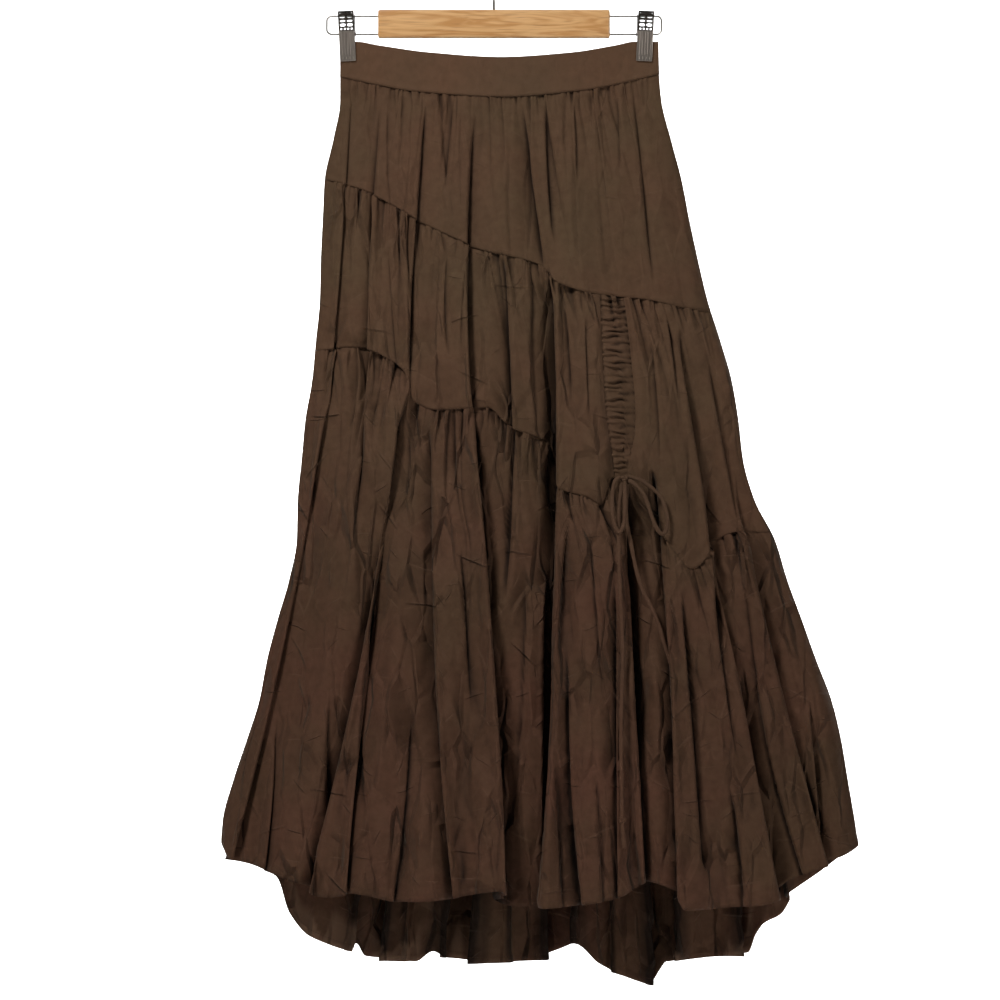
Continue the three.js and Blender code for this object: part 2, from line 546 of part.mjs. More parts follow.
// One jaw's plate: four rows of two openings and a row of four small ones above a solid grip
function jawOutline() {
  const shape = roundedOutline(clip.width, clip.height, 1);
  const opening = (x, z, width, height) => {
    const hole = new THREE.Path();
    hole.moveTo(x - width / 2, z);
    hole.lineTo(x - width / 3, z + height / 2);
    hole.lineTo(x + width / 3, z + height / 2);
    hole.lineTo(x + width / 2, z);
    hole.lineTo(x + width / 3, z - height / 2);
    hole.lineTo(x - width / 3, z - height / 2);
    hole.closePath();
    shape.holes.push(hole);
  };
  for (let row = 0; row < 4; row += 1) {
    for (const x of [-3.7, 3.7]) opening(x, clip.height / 2 - 2.2 - 4.1 * row, 5.8, row === 3 ? 3.4 : 2.4);
  }
  for (let place = 0; place < 4; place += 1) opening(-5.4 + 3.6 * place, clip.height / 2 - 18.6, 2, 2);
  return shape;
}

function addClips() {
  const jawInside = bandWall + seamGap / 2 + seamGap;
  for (const [word, x, tilt] of [['left', clip.leftX, -clip.tilt], ['right', clip.rightX, clip.tilt]]) {
    for (const [facing, sign] of [['front', -1], ['back', 1]]) {
      const jaw = addPiece(`clip_${word}_${facing}_jaw`, uprightSlab(jawOutline(), clip.plate, 0, 2), 'steel');
      jaw.position.set(x, sign * (jawInside + clip.plate / 2), -(clip.top + clip.height / 2));
      jaw.rotation.y = tilt;
    }
    const lowest = loop.upper - loopWire / 2 - seamGap;
    const block = addPiece(`clip_${word}_saddle`, uprightSlab(
      roundedOutline(saddle.width, saddle.height, 0.6), 2 * (jawInside - seamGap), 0, 2), 'steel');
    const topShift = Math.sin(tilt) * (clip.height / 2 - 4);
    block.position.set(x + topShift, 0, -(lowest - saddle.height / 2));
  }
}

function addTie() {
  for (const [name, rows] of Object.entries(tieRoutes)) {
    const route = new THREE.CatmullRomCurve3(rows.map(({ x, y, drop }) => new THREE.Vector3(x, y, -drop)));
    const steps = Math.ceil(route.getLength() / (2.2 * cordThickness));
    addPiece(name, roundAlong(route, cordThickness, 8, Math.max(steps, rows.length + 2)), 'tie');
  }
  for (const [name, knot] of [['tie_bow_knot', bowKnot], ['tie_end_knot', endKnot]]) {
    const ball = new THREE.SphereGeometry(0.5, 10, 7);
    ball.scale(knot.wide, knot.tall, knot.deep);
    ball.rotateX(Math.PI / 2);
    addPiece(name, ball, 'tie').position.set(knot.x, knot.y, -knot.drop);
  }
}

addCloth();
addHanger();
addClips();
addTie();

export default skirt;
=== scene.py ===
"""A tiered ruffle skirt of brown cotton lawn, clipped to a wooden bar hanger.

Tables are in millimetres, as a maker writes them: x to the garment's left side as it is seen from the
front, and the drop below the rail that the hook hangs on. Meshes are made in metres, the front faces -Y,
and the origin is the top of the hook's inside.
"""
import logging
import math
from dataclasses import dataclass, field
from enum import Enum

import bmesh
import bpy
import numpy as np
from bpy.types import Material, Mesh, Node, NodeSocket, NodeTree, Object
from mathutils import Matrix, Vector
from numpy import ndarray


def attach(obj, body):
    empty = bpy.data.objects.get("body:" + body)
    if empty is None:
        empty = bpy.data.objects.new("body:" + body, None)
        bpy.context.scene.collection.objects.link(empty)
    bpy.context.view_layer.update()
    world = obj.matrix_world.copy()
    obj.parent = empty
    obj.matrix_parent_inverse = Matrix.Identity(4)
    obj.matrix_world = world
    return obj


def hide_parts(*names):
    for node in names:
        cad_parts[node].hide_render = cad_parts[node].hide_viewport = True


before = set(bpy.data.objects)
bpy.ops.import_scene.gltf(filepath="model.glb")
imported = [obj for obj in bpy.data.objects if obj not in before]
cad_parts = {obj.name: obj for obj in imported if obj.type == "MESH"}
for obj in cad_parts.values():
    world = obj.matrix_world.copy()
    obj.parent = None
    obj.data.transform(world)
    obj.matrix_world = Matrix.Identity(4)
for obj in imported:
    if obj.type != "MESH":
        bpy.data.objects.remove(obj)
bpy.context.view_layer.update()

LOG = logging.getLogger("tiered_skirt")
MILLIMETRE = 0.001
BODY = "root"
Point = tuple[float, float, float]
Colour = tuple[float, float, float, float]


class Slot(Enum):
    """The finishes that the model's record names."""

    LAWN = "lawn"
    TIE = "tie"
    WOOD = "wood"
    STEEL = "steel"


class Side(Enum):
    """The two faces of the skirt, with the sign of their way out along Y."""

    FRONT = -1
    BACK = 1

    @property
    def word(self) -> str:
        """The face's name as the pieces carry it."""
        return self.name.lower()


# Curves and small sums


def smoothstep(value: ndarray, low: float, high: float) -> ndarray:
    """Eases from 0 at low to 1 at high.

    Args:
        value: The numbers to ease.
        low: Where the rise starts.
        high: Where it ends.

    Returns:
        The eased share for each number.
    """
    share = np.clip((value - low) / (high - low), 0.0, 1.0)
    return share * share * (3.0 - 2.0 * share)


class Curve:
    """A smooth curve through a table's rows that never swings past them."""

    def __init__(self, rows: list[tuple[float, float]]) -> None:
        """Keeps the rows and the slope at each.

        Args:
            rows: Pairs of place and value, in rising order of place.
        """
        self.at = np.array([row[0] for row in rows], float)
        self.value = np.array([row[1] for row in rows], float)
        steps = np.diff(self.value) / np.diff(self.at)
        before, after = steps[:-1], steps[1:]
        total = np.where(before + after == 0, 1.0, before + after)
        inner = np.where(before * after <= 0, 0.0, 2.0 * before * after / total)
        self.slope = np.concatenate([steps[:1], inner, steps[-1:]])

    def __call__(self, at: ndarray | float) -> ndarray:
        """The curve's value at each place.

        Args:
            at: One place or many.

        Returns:
            The values, in the same shape.
        """
        i = np.clip(np.searchsorted(self.at, at, side="left") - 1, 0, len(self.at) - 2)
        span = self.at[i + 1] - self.at[i]
        t = np.clip((at - self.at[i]) / span, 0.0, 1.0)
        rise = self.value[i + 1] - self.value[i]
        a, b = self.slope[i] * span, self.slope[i + 1] * span
        return self.value[i] + a * t + (3 * rise - 2 * a - b) * t**2 + (a + b - 2 * rise) * t**3


def smooth_path(points: list[Point], step: float) -> ndarray:
    """A smooth line through given points.

    Args:
        points: The points, in millimetres.
        step: About how far apart the line's own points are, in millimetres.

    Returns:
        The line's points, in metres.
    """
    table = np.array(points, float)
    table = np.vstack([2 * table[0] - table[1], table, 2 * table[-1] - table[-2]])
    line = []
    for i in range(1, len(table) - 2):
        before, start, end, after = table[i - 1 : i + 3]
        count = max(2, int(np.linalg.norm(end - start) / step))
        for k in range(count):
            t = k / count
            square = 2 * before - 5 * start + 4 * end - after
            cube = 3 * start - before - 3 * end + after
            line.append(0.5 * (2 * start + (end - before) * t + square * t**2 + cube * t**3))
    line.append(table[-2])
    return np.array(line) * MILLIMETRE


def path_length(path: ndarray) -> float:
    """The length of a line of points."""
    return float(np.linalg.norm(np.diff(path, axis=0), axis=1).sum())


# Making objects


def place_object(name: str, data: bpy.types.ID) -> Object:
    """A new object of some data, at the origin and in the scene."""
    piece = bpy.data.objects.new(name, data)
    bpy.context.collection.objects.link(piece)
    return piece


def finished_mesh(guide: Object) -> Mesh:
    """A plain mesh of what an object's curve or modifiers make, after which the object is removed.

    Args:
        guide: The object.

    Returns:
        The mesh.
    """
    depsgraph = bpy.context.evaluated_depsgraph_get()
    mesh = bpy.data.meshes.new_from_object(guide.evaluated_get(depsgraph), depsgraph=depsgraph)
    guide.modifiers.clear()
    bpy.data.objects.remove(guide)
    return mesh


def make_object(name: str, vertices: ndarray, faces: list | ndarray, finish: Material,
                uv: ndarray | None = None, masks: dict[str, ndarray] | None = None) -> Object:
    """A mesh object at the origin, shaded smooth.

    Args:
        name: The object's name.
        vertices: Its points, in metres.
        faces: Its faces, as rows of point numbers.
        finish: Its material.
        uv: A place on the cloth for each point, in metres.
        masks: Named numbers for each point, which its material reads.

    Returns:
        The object.
    """
    mesh = bpy.data.meshes.new(name)
    rows = faces.tolist() if isinstance(faces, ndarray) else faces
    mesh.from_pydata(np.asarray(vertices).tolist(), [], rows)
    mesh.materials.append(finish)
    if uv is not None:
        corners = np.empty(len(mesh.loops), int)
        mesh.loops.foreach_get("vertex_index", corners)
        mesh.uv_layers.new(name="cut").data.foreach_set("uv", uv[corners].ravel())
    for key, values in (masks or {}).items():
        mesh.attributes.new(key, "FLOAT", "POINT").data.foreach_set("value", values)
    mesh.shade_smooth()
    mesh.update()
    return place_object(name, mesh)


def dress(piece: Object, slot: Slot, *nodes: str) -> Object:
    """Lets a piece ride on the body and hides the solids that it stands for.

    Args:
        piece: The object.
        slot: Not used.
        *nodes: The solids that it replaces.

    Returns:
        The same object.
    """
    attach(piece, BODY)
    if nodes:
        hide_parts(*nodes)
    LOG.info("%s: %d faces", piece.name, len(piece.data.polygons))
    return piece


# How large the sections of a tube's rounded end are, and how far beyond its line they lie, as shares of its
# section and depth
ROUNDED_END = ((0.35, 0.42), (0.72, 0.3), (0.92, 0.14))


def tube_faces(rings: int, sides: int) -> list[list[int]]:
    """The faces of a tube closed at both ends.

    Args:
        rings: How many rings of points it has.
        sides: How many points are in a ring.

    Returns:
        The faces, as rows of point numbers.
    """
    faces = []
    for i in range(rings - 1):
        for k in range(sides):
            a, b = i * sides + k, i * sides + (k + 1) % sides
            faces.append([a, b, b + sides, a + sides])
    last = (rings - 1) * sides
    return [*faces, list(range(sides - 1, -1, -1)), list(range(last, last + sides))]


def sweep(path: ndarray, wide: ndarray | float, deep: ndarray | float, sides: int = 12,
          face: Point = (0.0, -1.0, 0.0),
          turn: ndarray | float = 0.0) -> tuple[ndarray, list, ndarray]:
    """A closed tube along a line, with rounded ends.

    Args:
        path: The line's points, in metres.
        wide: The tube's width along the surface it lies on.
        deep: Its depth towards that surface.
        sides: How many points go round it.
        face: The way out of that surface.
        turn: How far each section is turned about the line, in radians.

    Returns:
        Its points, faces and a place on its cloth for each point.
    """
    count = len(path)
    along = np.gradient(path, axis=0)
    along /= np.linalg.norm(along, axis=1)[:, None]
    ahead = np.array(face, float)
    across = np.cross(along, ahead)
    weak = np.linalg.norm(across, axis=1) < 0.2
    across[weak] = np.cross(along[weak], (1.0, 0.3, 0.2))
    for i in range(1, count):
        if np.dot(across[i], across[i - 1]) < 0:
            across[i] *= -1
    across /= np.linalg.norm(across, axis=1)[:, None]
    out = np.cross(across, along)
    wide = np.broadcast_to(wide, count)
    deep = np.broadcast_to(deep, count)
    turn = np.broadcast_to(turn, count)
    run = np.concatenate([[0], np.cumsum(np.linalg.norm(np.diff(path, axis=0), axis=1))])
    rings, cuts = [], []
    angles = 2 * math.pi * np.arange(sides) / sides

    def ring(i: int, size: float, shift: float) -> None:
        """Adds one section, size times as large, shifted along the line."""
        c, s = np.cos(angles + turn[i])[:, None], np.sin(angles + turn[i])[:, None]
        flat = across[i] * (0.5 * wide[i] * size) * c + out[i] * (0.5 * deep[i] * size) * s
        rings.append(path[i] + along[i] * shift + flat)
        girth = np.arange(sides) / sides * wide[i] * 3.0
        cuts.append(np.column_stack([girth, np.full(sides, run[i] + shift)]))

    for size, shift in ROUNDED_END:
        ring(0, size, -shift * deep[0])
    for i in range(count):
        ring(i, 1.0, 0.0)
    for size, shift in ROUNDED_END[::-1]:
        ring(count - 1, size, shift * deep[-1])
    return np.vstack(rings), tube_faces(len(rings), sides), np.vstack(cuts)


# Finishes


class Tree:
    """A node tree with short ways to add and join its nodes."""

    def __init__(self, tree: NodeTree) -> None:
        """Keeps the tree and empties it."""
        self.tree = tree
        tree.nodes.clear()

    def add(self, kind: str, **settings: object) -> Node:
        """Adds a node.

        Args:
            kind: The node's type name.
            **settings: Its own settings.

        Returns:
            The node.
        """
        node = self.tree.nodes.new(kind)
        for key, value in settings.items():
            setattr(node, key, value)
        return node

    def join(self, start: NodeSocket, end: NodeSocket) -> None:
        """Joins an output to an input."""
        self.tree.links.new(start, end)

    def fill(self, socket: NodeSocket, source: object) -> None:
        """Joins a socket to another one, or gives it a number."""
        if isinstance(source, NodeSocket):
            self.join(source, socket)
        else:
            socket.default_value = source

    def sum(self, operation: str, *values: object) -> NodeSocket:
        """A Math node on sockets or numbers.

        Args:
            operation: The node's operation.
            *values: Its inputs in order.

        Returns:
            Its output.
        """
        node = self.add("ShaderNodeMath", operation=operation)
        for socket, value in zip(node.inputs, values):
            self.fill(socket, value)
        return node.outputs[0]

    def vector(self, operation: str, *values: object) -> NodeSocket:
        """A Vector Math node on sockets or vectors.

        Args:
            operation: The node's operation.
            *values: Its inputs in order.

        Returns:
            Its output.
        """
        node = self.add("ShaderNodeVectorMath", operation=operation)
        for socket, value in zip(node.inputs, values):
            self.fill(socket, value)
        return node.outputs["Value" if operation == "DOT_PRODUCT" else "Vector"]

    def parts(self, vector: NodeSocket) -> bpy.types.bpy_prop_collection:
        """The x, y and z of a vector."""
        node = self.add("ShaderNodeSeparateXYZ")
        self.join(vector, node.inputs[0])
        return node.outputs

    def surface(self, values: dict[str, object]) -> None:
        """Adds the shader and the material's output.

        Args:
            values: What the shader's inputs are joined to or set to.
        """
        shader = self.add("ShaderNodeBsdfPrincipled")
        for key, value in values.items():
            self.fill(shader.inputs[key], value)
        self.join(shader.outputs[0], self.add("ShaderNodeOutputMaterial").inputs[0])

    def noise(self, vector: NodeSocket, scale: object, detail: float = 2.0,
              rough: float = 0.5, distort: float = 0.0) -> NodeSocket:
        """A noise texture's value.

        Args:
            vector: Where it is read.
            scale: Its scale.
            detail: Its detail.
            rough: Its roughness.
            distort: Its distortion.

        Returns:
            The value's output.
        """
        node = self.add("ShaderNodeTexNoise")
        for key, value in (("Vector", vector), ("Scale", scale), ("Detail", detail), ("Roughness", rough),
                           ("Distortion", distort)):
            self.fill(node.inputs[key], value)
        return node.outputs["Fac"]

    def ramp(self, value: NodeSocket, low: float, high: float,
             to_low: float = 0.0, to_high: float = 1.0) -> NodeSocket:
        """Maps a range of a value onto another, clamped.

        Args:
            value: The value.
            low: The start of its range.
            high: The end of its range.
            to_low: What the start becomes.
            to_high: What the end becomes.

        Returns:
            The mapped value.
        """
        node = self.add("ShaderNodeMapRange")
        self.join(value, node.inputs["Value"])
        for key, number in (("From Min", low), ("From Max", high), ("To Min", to_low), ("To Max", to_high)):
            node.inputs[key].default_value = number
        return node.outputs["Result"]

    def mix(self, share: object, first: object, second: object, blend: str = "MIX") -> NodeSocket:
        """Mixes two colours.

        Args:
            share: How much of the second.
            first: The first colour.
            second: The second colour.
            blend: How they are blended.

        Returns:
            The mixed colour.
        """
        node = self.add("ShaderNodeMix", data_type="RGBA", blend_type=blend)
        self.fill(node.inputs[0], share)
        self.fill(node.inputs[6], first)
        self.fill(node.inputs[7], second)
        return node.outputs[2]

    def stretched(self, vector: NodeSocket, scale: Point,
                  turn: Point = (0.0, 0.0, 0.0)) -> NodeSocket:
        """Scales and turns a place.

        Args:
            vector: The place.
            scale: How much along each axis.
            turn: The turn about each axis, in radians.

        Returns:
            The new place.
        """
        node = self.add("ShaderNodeMapping")
        self.join(vector, node.inputs["Vector"])
        node.inputs["Scale"].default_value = scale
        node.inputs["Rotation"].default_value = turn
        return node.outputs["Vector"]

    def bump(self, height: NodeSocket, distance: float, strength: float,
             normal: NodeSocket | None = None) -> NodeSocket:
        """A bump of a height.

        Args:
            height: The height.
            distance: What a height of one stands for, in metres.
            strength: The bump's strength.
            normal: The normal that it adds to.

        Returns:
            The bumped normal.
        """
        node = self.add("ShaderNodeBump")
        node.inputs["Strength"].default_value = strength
        node.inputs["Distance"].default_value = distance
        self.join(height, node.inputs["Height"])
        if normal is not None:
            self.join(normal, node.inputs["Normal"])
        return node.outputs["Normal"]


def colour(red: int, green: int, blue: int) -> Colour:
    """A colour of the screen's scale as linear light."""
    parts = [value / 255 for value in (red, green, blue)]
    return (*[part / 12.92 if part <= 0.04045 else ((part + 0.055) / 1.055) ** 2.4 for part in parts], 1.0)


def new_material(name: str) -> tuple[Material, Tree, Node]:
    """A material with an empty tree.

    Args:
        name: The material's name.

    Returns:
        The material, its tree and a node with its places.
    """
    material = bpy.data.materials.new(name)
    material.use_nodes = True
    tree = Tree(material.node_tree)
    return material, tree, tree.add("ShaderNodeTexCoord")


def new_group(name: str, inputs: dict[str, float], outputs: tuple[str, ...]) -> tuple[NodeTree, Tree]:
    """An empty shader node group with a vector input, number inputs and number outputs.

    Args:
        name: The group's name.
        inputs: The number inputs and their values.
        outputs: The names of the outputs.

    Returns:
        The group and its tree.
    """
    group = bpy.data.node_groups.new(name, "ShaderNodeTree")
    tree = Tree(group)
    group.interface.new_socket("Place", in_out="INPUT", socket_type="NodeSocketVector")
    for key, value in inputs.items():
        group.interface.new_socket(key, in_out="INPUT", socket_type="NodeSocketFloat").default_value = value
    for key in outputs:
        group.interface.new_socket(key, in_out="OUTPUT", socket_type="NodeSocketFloat")
    return group, tree


def weave_group() -> NodeTree:
    """Plain weave: threads over and under each other, with slubs.

    Returns:
        The group, with a thread height and a mask of the slubs.
    """
    group, tree = new_group("plain_weave", {"Pitch": 0.00042}, ("Height", "Slub"))
    start = tree.add("NodeGroupInput")
    end = tree.add("NodeGroupOutput")
    place = start.outputs["Place"]
    parts = tree.parts(place)
    turns = tree.sum("DIVIDE", 2 * math.pi, start.outputs["Pitch"])
    warp = tree.sum("SINE", tree.sum("MULTIPLY", parts[0], turns))
    weft = tree.sum("SINE", tree.sum("MULTIPLY", parts[1], turns))
    tree.join(tree.sum("MULTIPLY", warp, weft), end.inputs["Height"])
    down = tree.noise(tree.stretched(place, (1600.0, 45.0, 1.0)), 1.0, 2.0)
    over = tree.noise(tree.stretched(place, (45.0, 1600.0, 1.0)), 1.0, 2.0)
    tree.join(tree.ramp(tree.sum("MAXIMUM", down, over), 0.5, 0.8), end.inputs["Slub"])
    return group


def crease_marks(tree: Tree, place: NodeSocket, size: NodeSocket,
                 scale: float) -> tuple[NodeSocket, NodeSocket]:
    """Short straight creases, at most one to a cell and each turned its own way.

    Args:
        tree: The nodes to add to.
        place: Flat coordinates across and down.
        size: What the scale is multiplied by.
        scale: Cells to a metre.

    Returns:
        Their height and the line of their crests.
    """
    cells = tree.add("ShaderNodeTexVoronoi", voronoi_dimensions="2D", feature="F1")
    tree.join(place, cells.inputs["Vector"])
    tree.join(tree.sum("MULTIPLY", size, scale), cells.inputs["Scale"])
    away = tree.vector("SUBTRACT", place, cells.outputs["Position"])
    dice = tree.add("ShaderNodeSeparateColor")
    tree.join(cells.outputs["Color"], dice.inputs[0])
    turned = tree.add("ShaderNodeVectorRotate", rotation_type="Z_AXIS")
    tree.join(away, turned.inputs["Vector"])
    tree.join(tree.ramp(dice.outputs[0], 0.0, 1.0, -1.3, 1.5), turned.inputs["Angle"])
    along, over, _ = tree.parts(turned.outputs[0])
    near = tree.ramp(tree.sum("ABSOLUTE", along), 0.1 / scale, 0.42 / scale, 1.0, 0.0)
    near = tree.sum("MULTIPLY", near, tree.ramp(dice.outputs[1], 0.42, 0.6))
    steep, gentle = tree.ramp(over, -0.04 / scale, 0.0), tree.ramp(over, 0.0, 0.22 / scale, 1.0, 0.0)
    rise = tree.sum("MINIMUM", steep, gentle)
    rise = tree.sum("MULTIPLY", rise, tree.ramp(dice.outputs[2], 0.0, 1.0, -0.5, 1.0))
    crest = tree.ramp(tree.sum("ABSOLUTE", over), 0.0, 0.035 / scale, 1.0, 0.0)
    return tree.sum("MULTIPLY", rise, near), tree.sum("MULTIPLY", crest, near)


def crinkle_group() -> NodeTree:
    """Creases of washed cotton: long tilted facets, and short sharp creases in two sizes.

    Returns:
        The group, with a height, a tone for each facet, and the line of the creases' crests.
    """
    group, tree = new_group("washed_creases", {"Size": 1.0}, ("Height", "Tone", "Ridge"))
    start = tree.add("NodeGroupInput")
    end = tree.add("NodeGroupOutput")
    place = start.outputs["Place"]
    swirl = tree.add("ShaderNodeTexNoise")
    tree.join(place, swirl.inputs["Vector"])
    swirl.inputs["Scale"].default_value = 30.0
    swirl.inputs["Detail"].default_value = 1.0
    shifted = tree.vector("MULTIPLY_ADD", swirl.outputs["Color"], (0.007, 0.007, 0.007), place)
    spot = tree.stretched(shifted, (44.0, 44.0, 13.0), (0.0, 0.2, 0.0))
    facet = tree.add("ShaderNodeTexVoronoi", feature="F1")
    border = tree.add("ShaderNodeTexVoronoi", feature="DISTANCE_TO_EDGE")
    for cells in (facet, border):
        tree.join(spot, cells.inputs["Vector"])
        tree.join(start.outputs["Size"], cells.inputs["Scale"])
    away = tree.vector("SUBTRACT", spot, facet.outputs["Position"])
    tilt = tree.vector("SUBTRACT", facet.outputs["Color"], (0.5, 0.5, 0.5))
    rise = tree.vector("DOT_PRODUCT", away, tilt)
    whole = tree.ramp(border.outputs["Distance"], 0.0, 0.1, 0.3, 1.0)
    patchy = tree.ramp(tree.noise(place, 13.0, 1.0), 0.38, 0.62, 0.15, 0.75)
    height = tree.sum("MULTIPLY", tree.sum("MULTIPLY", rise, whole), patchy)
    tree.join(facet.outputs["Color"], end.inputs["Tone"])
    parts = tree.parts(shifted)
    flat = tree.add("ShaderNodeCombineXYZ")
    tree.join(parts[0], flat.inputs[0])
    tree.join(parts[2], flat.inputs[1])
    crests = None
    for scale, share in ((21.0, 0.1), (42.0, 0.055)):
        mark, crest = crease_marks(tree, flat.outputs[0], start.outputs["Size"], scale)
        height = tree.sum("ADD", height, tree.sum("MULTIPLY", mark, share))
        crests = tree.sum("MAXIMUM", crests, crest) if crests else crest
    tree.join(height, end.inputs["Height"])
    tree.join(crests, end.inputs["Ridge"])
    return group


@dataclass(frozen=True)
class LawnFinish:
    """Crinkled brown cotton lawn, with painted shade in its hollows and towards the bottom, and painted light on its
    crease crests and through the back hem's single layer.
    """

    name: str
    tone: Colour = colour(76, 57, 40)
    warm: Colour = colour(86, 58, 42)
    dusk: Colour = colour(58, 43, 31)
    # Painted shade: the colour that the hollows between folds are darkened towards.
    depth: Colour = colour(16, 8, 4)
    # Painted light: the colour of highlights on crease crests and of light shining through the hem's single layer.
    painted_light: Colour = colour(128, 100, 80)
    # Painted shade: a multiplier that makes the cloth darker and a little redder towards the bottom.
    low_painted_shade: Colour = (0.82, 0.73, 0.73, 1.0)
    low_from: tuple[float, float] = (-0.42, -0.7)
    crease: float = 0.7
    crease_depth: float = 0.03
    crease_size: float = 1.0
    # Painted highlight: how strongly the crease crests are lightened.
    wear_and_highlight: float = 0.07
    # Painted shade: how strongly the hollows are darkened.
    painted_shade: float = 0.95
    weave_depth: float = 0.00006
    roughness: float = 0.82
    sheen: float = 0.07

    def build(self, weave: NodeTree, crinkle: NodeTree) -> Material:
        """Makes the material.

        Args:
            weave: The group of threads.
            crinkle: The group of creases.

        Returns:
            The material.
        """
        material, tree, place = new_material(self.name)
        threads = tree.add("ShaderNodeGroup", node_tree=weave)
        tree.join(place.outputs["UV"], threads.inputs["Place"])
        creases = tree.add("ShaderNodeGroup", node_tree=crinkle)
        tree.join(place.outputs["Object"], creases.inputs["Place"])
        creases.inputs["Size"].default_value = self.crease_size
        clouds = tree.noise(place.outputs["Object"], 7.0, 4.0, 0.6)
        fine = tree.noise(place.outputs["Object"], 120.0, 3.0, 0.6)
        base = tree.mix(tree.ramp(clouds, 0.35, 0.68), self.tone, self.warm)
        base = tree.mix(tree.ramp(fine, 0.4, 0.75, 0.0, 0.35), base, self.dusk)
        base = tree.mix(tree.sum("MULTIPLY", threads.outputs["Slub"], 0.18), base, self.warm)
        base = tree.mix(tree.ramp(creases.outputs["Tone"], 0.3, 0.7, 0.0, 0.1), base, self.dusk)
        height = tree.parts(place.outputs["Object"])[2]
        # Painted shade: darker and a little redder towards the bottom.
        base = tree.mix(tree.ramp(height, *self.low_from), base, self.low_painted_shade, "MULTIPLY")
        # Painted highlight along the crease crests.
        base = tree.mix(tree.sum("MULTIPLY", creases.outputs["Ridge"], self.wear_and_highlight), base, self.painted_light)
        painted_shade = tree.add("ShaderNodeAttribute", attribute_name="painted_shade")
        thin = tree.add("ShaderNodeAttribute", attribute_name="thin")
        # Painted shade in the hollows between folds and gathers.
        base = tree.mix(tree.ramp(painted_shade.outputs["Fac"], 0.08, 0.8, 0.0, self.painted_shade), base, self.depth)
        # Painted light shining through the hem's single layer from behind.
        base = tree.mix(thin.outputs["Fac"], base, self.painted_light)
        normal = tree.bump(creases.outputs["Height"], self.crease_depth, self.crease)
        tree.surface({
            "Base Color": base, "Roughness": tree.ramp(fine, 0.3, 0.7, self.roughness - 0.06, self.roughness + 0.08),
            "Specular IOR Level": 0.14, "Sheen Weight": self.sheen, "Sheen Roughness": 0.45,
            "Sheen Tint": colour(196, 170, 146),
            "Normal": tree.bump(threads.outputs["Height"], self.weave_depth, 0.35, normal)})
        return material


@dataclass(frozen=True)
class WoodFinish:
    """Pale varnished wood with its grain along the bar."""

    name: str = "bar_wood"
    pale: Colour = colour(222, 174, 118)
    golden: Colour = colour(196, 142, 84)
    vein: Colour = colour(150, 98, 50)

    def build(self) -> Material:
        """Makes the material.

        Returns:
            The material.
        """
        material, tree, places = new_material(self.name)
        place = places.outputs["Object"]
        bands = tree.noise(tree.stretched(place, (7.0, 60.0, 62.0)), 1.0, 2.0, 0.5, 3.2)
        pores = tree.noise(tree.stretched(place, (30.0, 900.0, 900.0)), 1.0, 2.0)
        base = tree.mix(tree.ramp(bands, 0.4, 0.62), self.pale, self.golden)
        base = tree.mix(tree.ramp(pores, 0.56, 0.72, 0.0, 0.55), base, self.vein)
        tree.surface({
            "Base Color": base, "Roughness": tree.ramp(pores, 0.3, 0.8, 0.34, 0.5), "Coat Weight": 0.3,
            "Coat Roughness": 0.2, "Normal": tree.bump(pores, 0.0002, 0.3)})
        return material


@dataclass(frozen=True)
class SteelFinish:
    """Plated steel with a brushed grain and a duller wear, darker above a height."""

    name: str
    bright: Colour = colour(196, 184, 172)
    dull: Colour = colour(150, 139, 129)
    aged: Colour = colour(84, 78, 72)
    aged_above: float = 1.0
    grain: Point = (900.0, 900.0, 40.0)

    def build(self) -> Material:
        """Makes the material.

        Returns:
            The material.
        """
        material, tree, places = new_material(self.name)
        place = places.outputs["Object"]
        brushed = tree.noise(tree.stretched(place, self.grain), 1.0, 3.0)
        wear_and_highlight = tree.noise(tree.stretched(place, (620.0, 620.0, 9.0)), 1.0, 3.0, 0.6)
        base = tree.mix(tree.ramp(wear_and_highlight, 0.35, 0.7), self.bright, self.dull)
        aging = tree.ramp(tree.parts(place)[2], self.aged_above, self.aged_above + 0.002)
        tree.surface({
            "Base Color": tree.mix(aging, base, self.aged), "Metallic": 1.0,
            "Roughness": tree.ramp(brushed, 0.2, 0.8, 0.26, 0.44), "Normal": tree.bump(brushed, 0.0001, 0.25)})
        return material


@dataclass(frozen=True)
class PaleFinish:
    """The matt floor and backdrop."""

    name: str = "studio_pale"

    def build(self) -> Material:
        """Makes the material.

        Returns:
            The material.
        """
        material, tree, places = new_material(self.name)
        place = places.outputs["Object"]
        mottle = tree.noise(place, 3.0, 3.0)
        tree.surface({"Base Color": tree.mix(mottle, colour(246, 246, 246), colour(250, 250, 250)),
                      "Roughness": 0.95})
        return material


@dataclass
class Finishes:
    """All materials, made once."""

    weave: NodeTree = field(default_factory=weave_group)
    crinkle: NodeTree = field(default_factory=crinkle_group)
    made: dict[str, Material] = field(default_factory=dict)

    def lawn(self, finish: LawnFinish) -> Material:
        """The material of a lawn finish, made at its first use."""
        if finish.name not in self.made:
            self.made[finish.name] = finish.build(self.weave, self.crinkle)
        return self.made[finish.name]

    def plain(self, finish: WoodFinish | SteelFinish | PaleFinish) -> Material:
        """The material of a hard finish, made at its first use."""
        if finish.name not in self.made:
            self.made[finish.name] = finish.build()
        return self.made[finish.name]


# The skirt's form

# drop, left x, right x, half depth
OUTLINE = (
    (95, -160, 171, 11), (132, -160, 172, 14), (156, -160, 174, 17), (197, -167, 184, 23),
    (239, -176, 195, 29), (280, -178, 203, 34), (322, -180, 212, 38), (364, -181, 222, 42),
    (405, -185, 235, 47), (447, -189, 247, 51), (488, -196, 254, 55), (530, -200, 259, 59),
    (572, -204, 271, 64), (613, -205, 292, 69), (655, -213, 305, 74), (696, -225, 320, 79),
    (738, -236, 335, 84), (780, -244, 351, 89), (821, -257, 361, 93), (863, -271, 368, 97),
    (904, -282, 375, 101), (930, -284, 379, 103), (988, -296, 392, 106), (1081, -315, 412, 108),
)

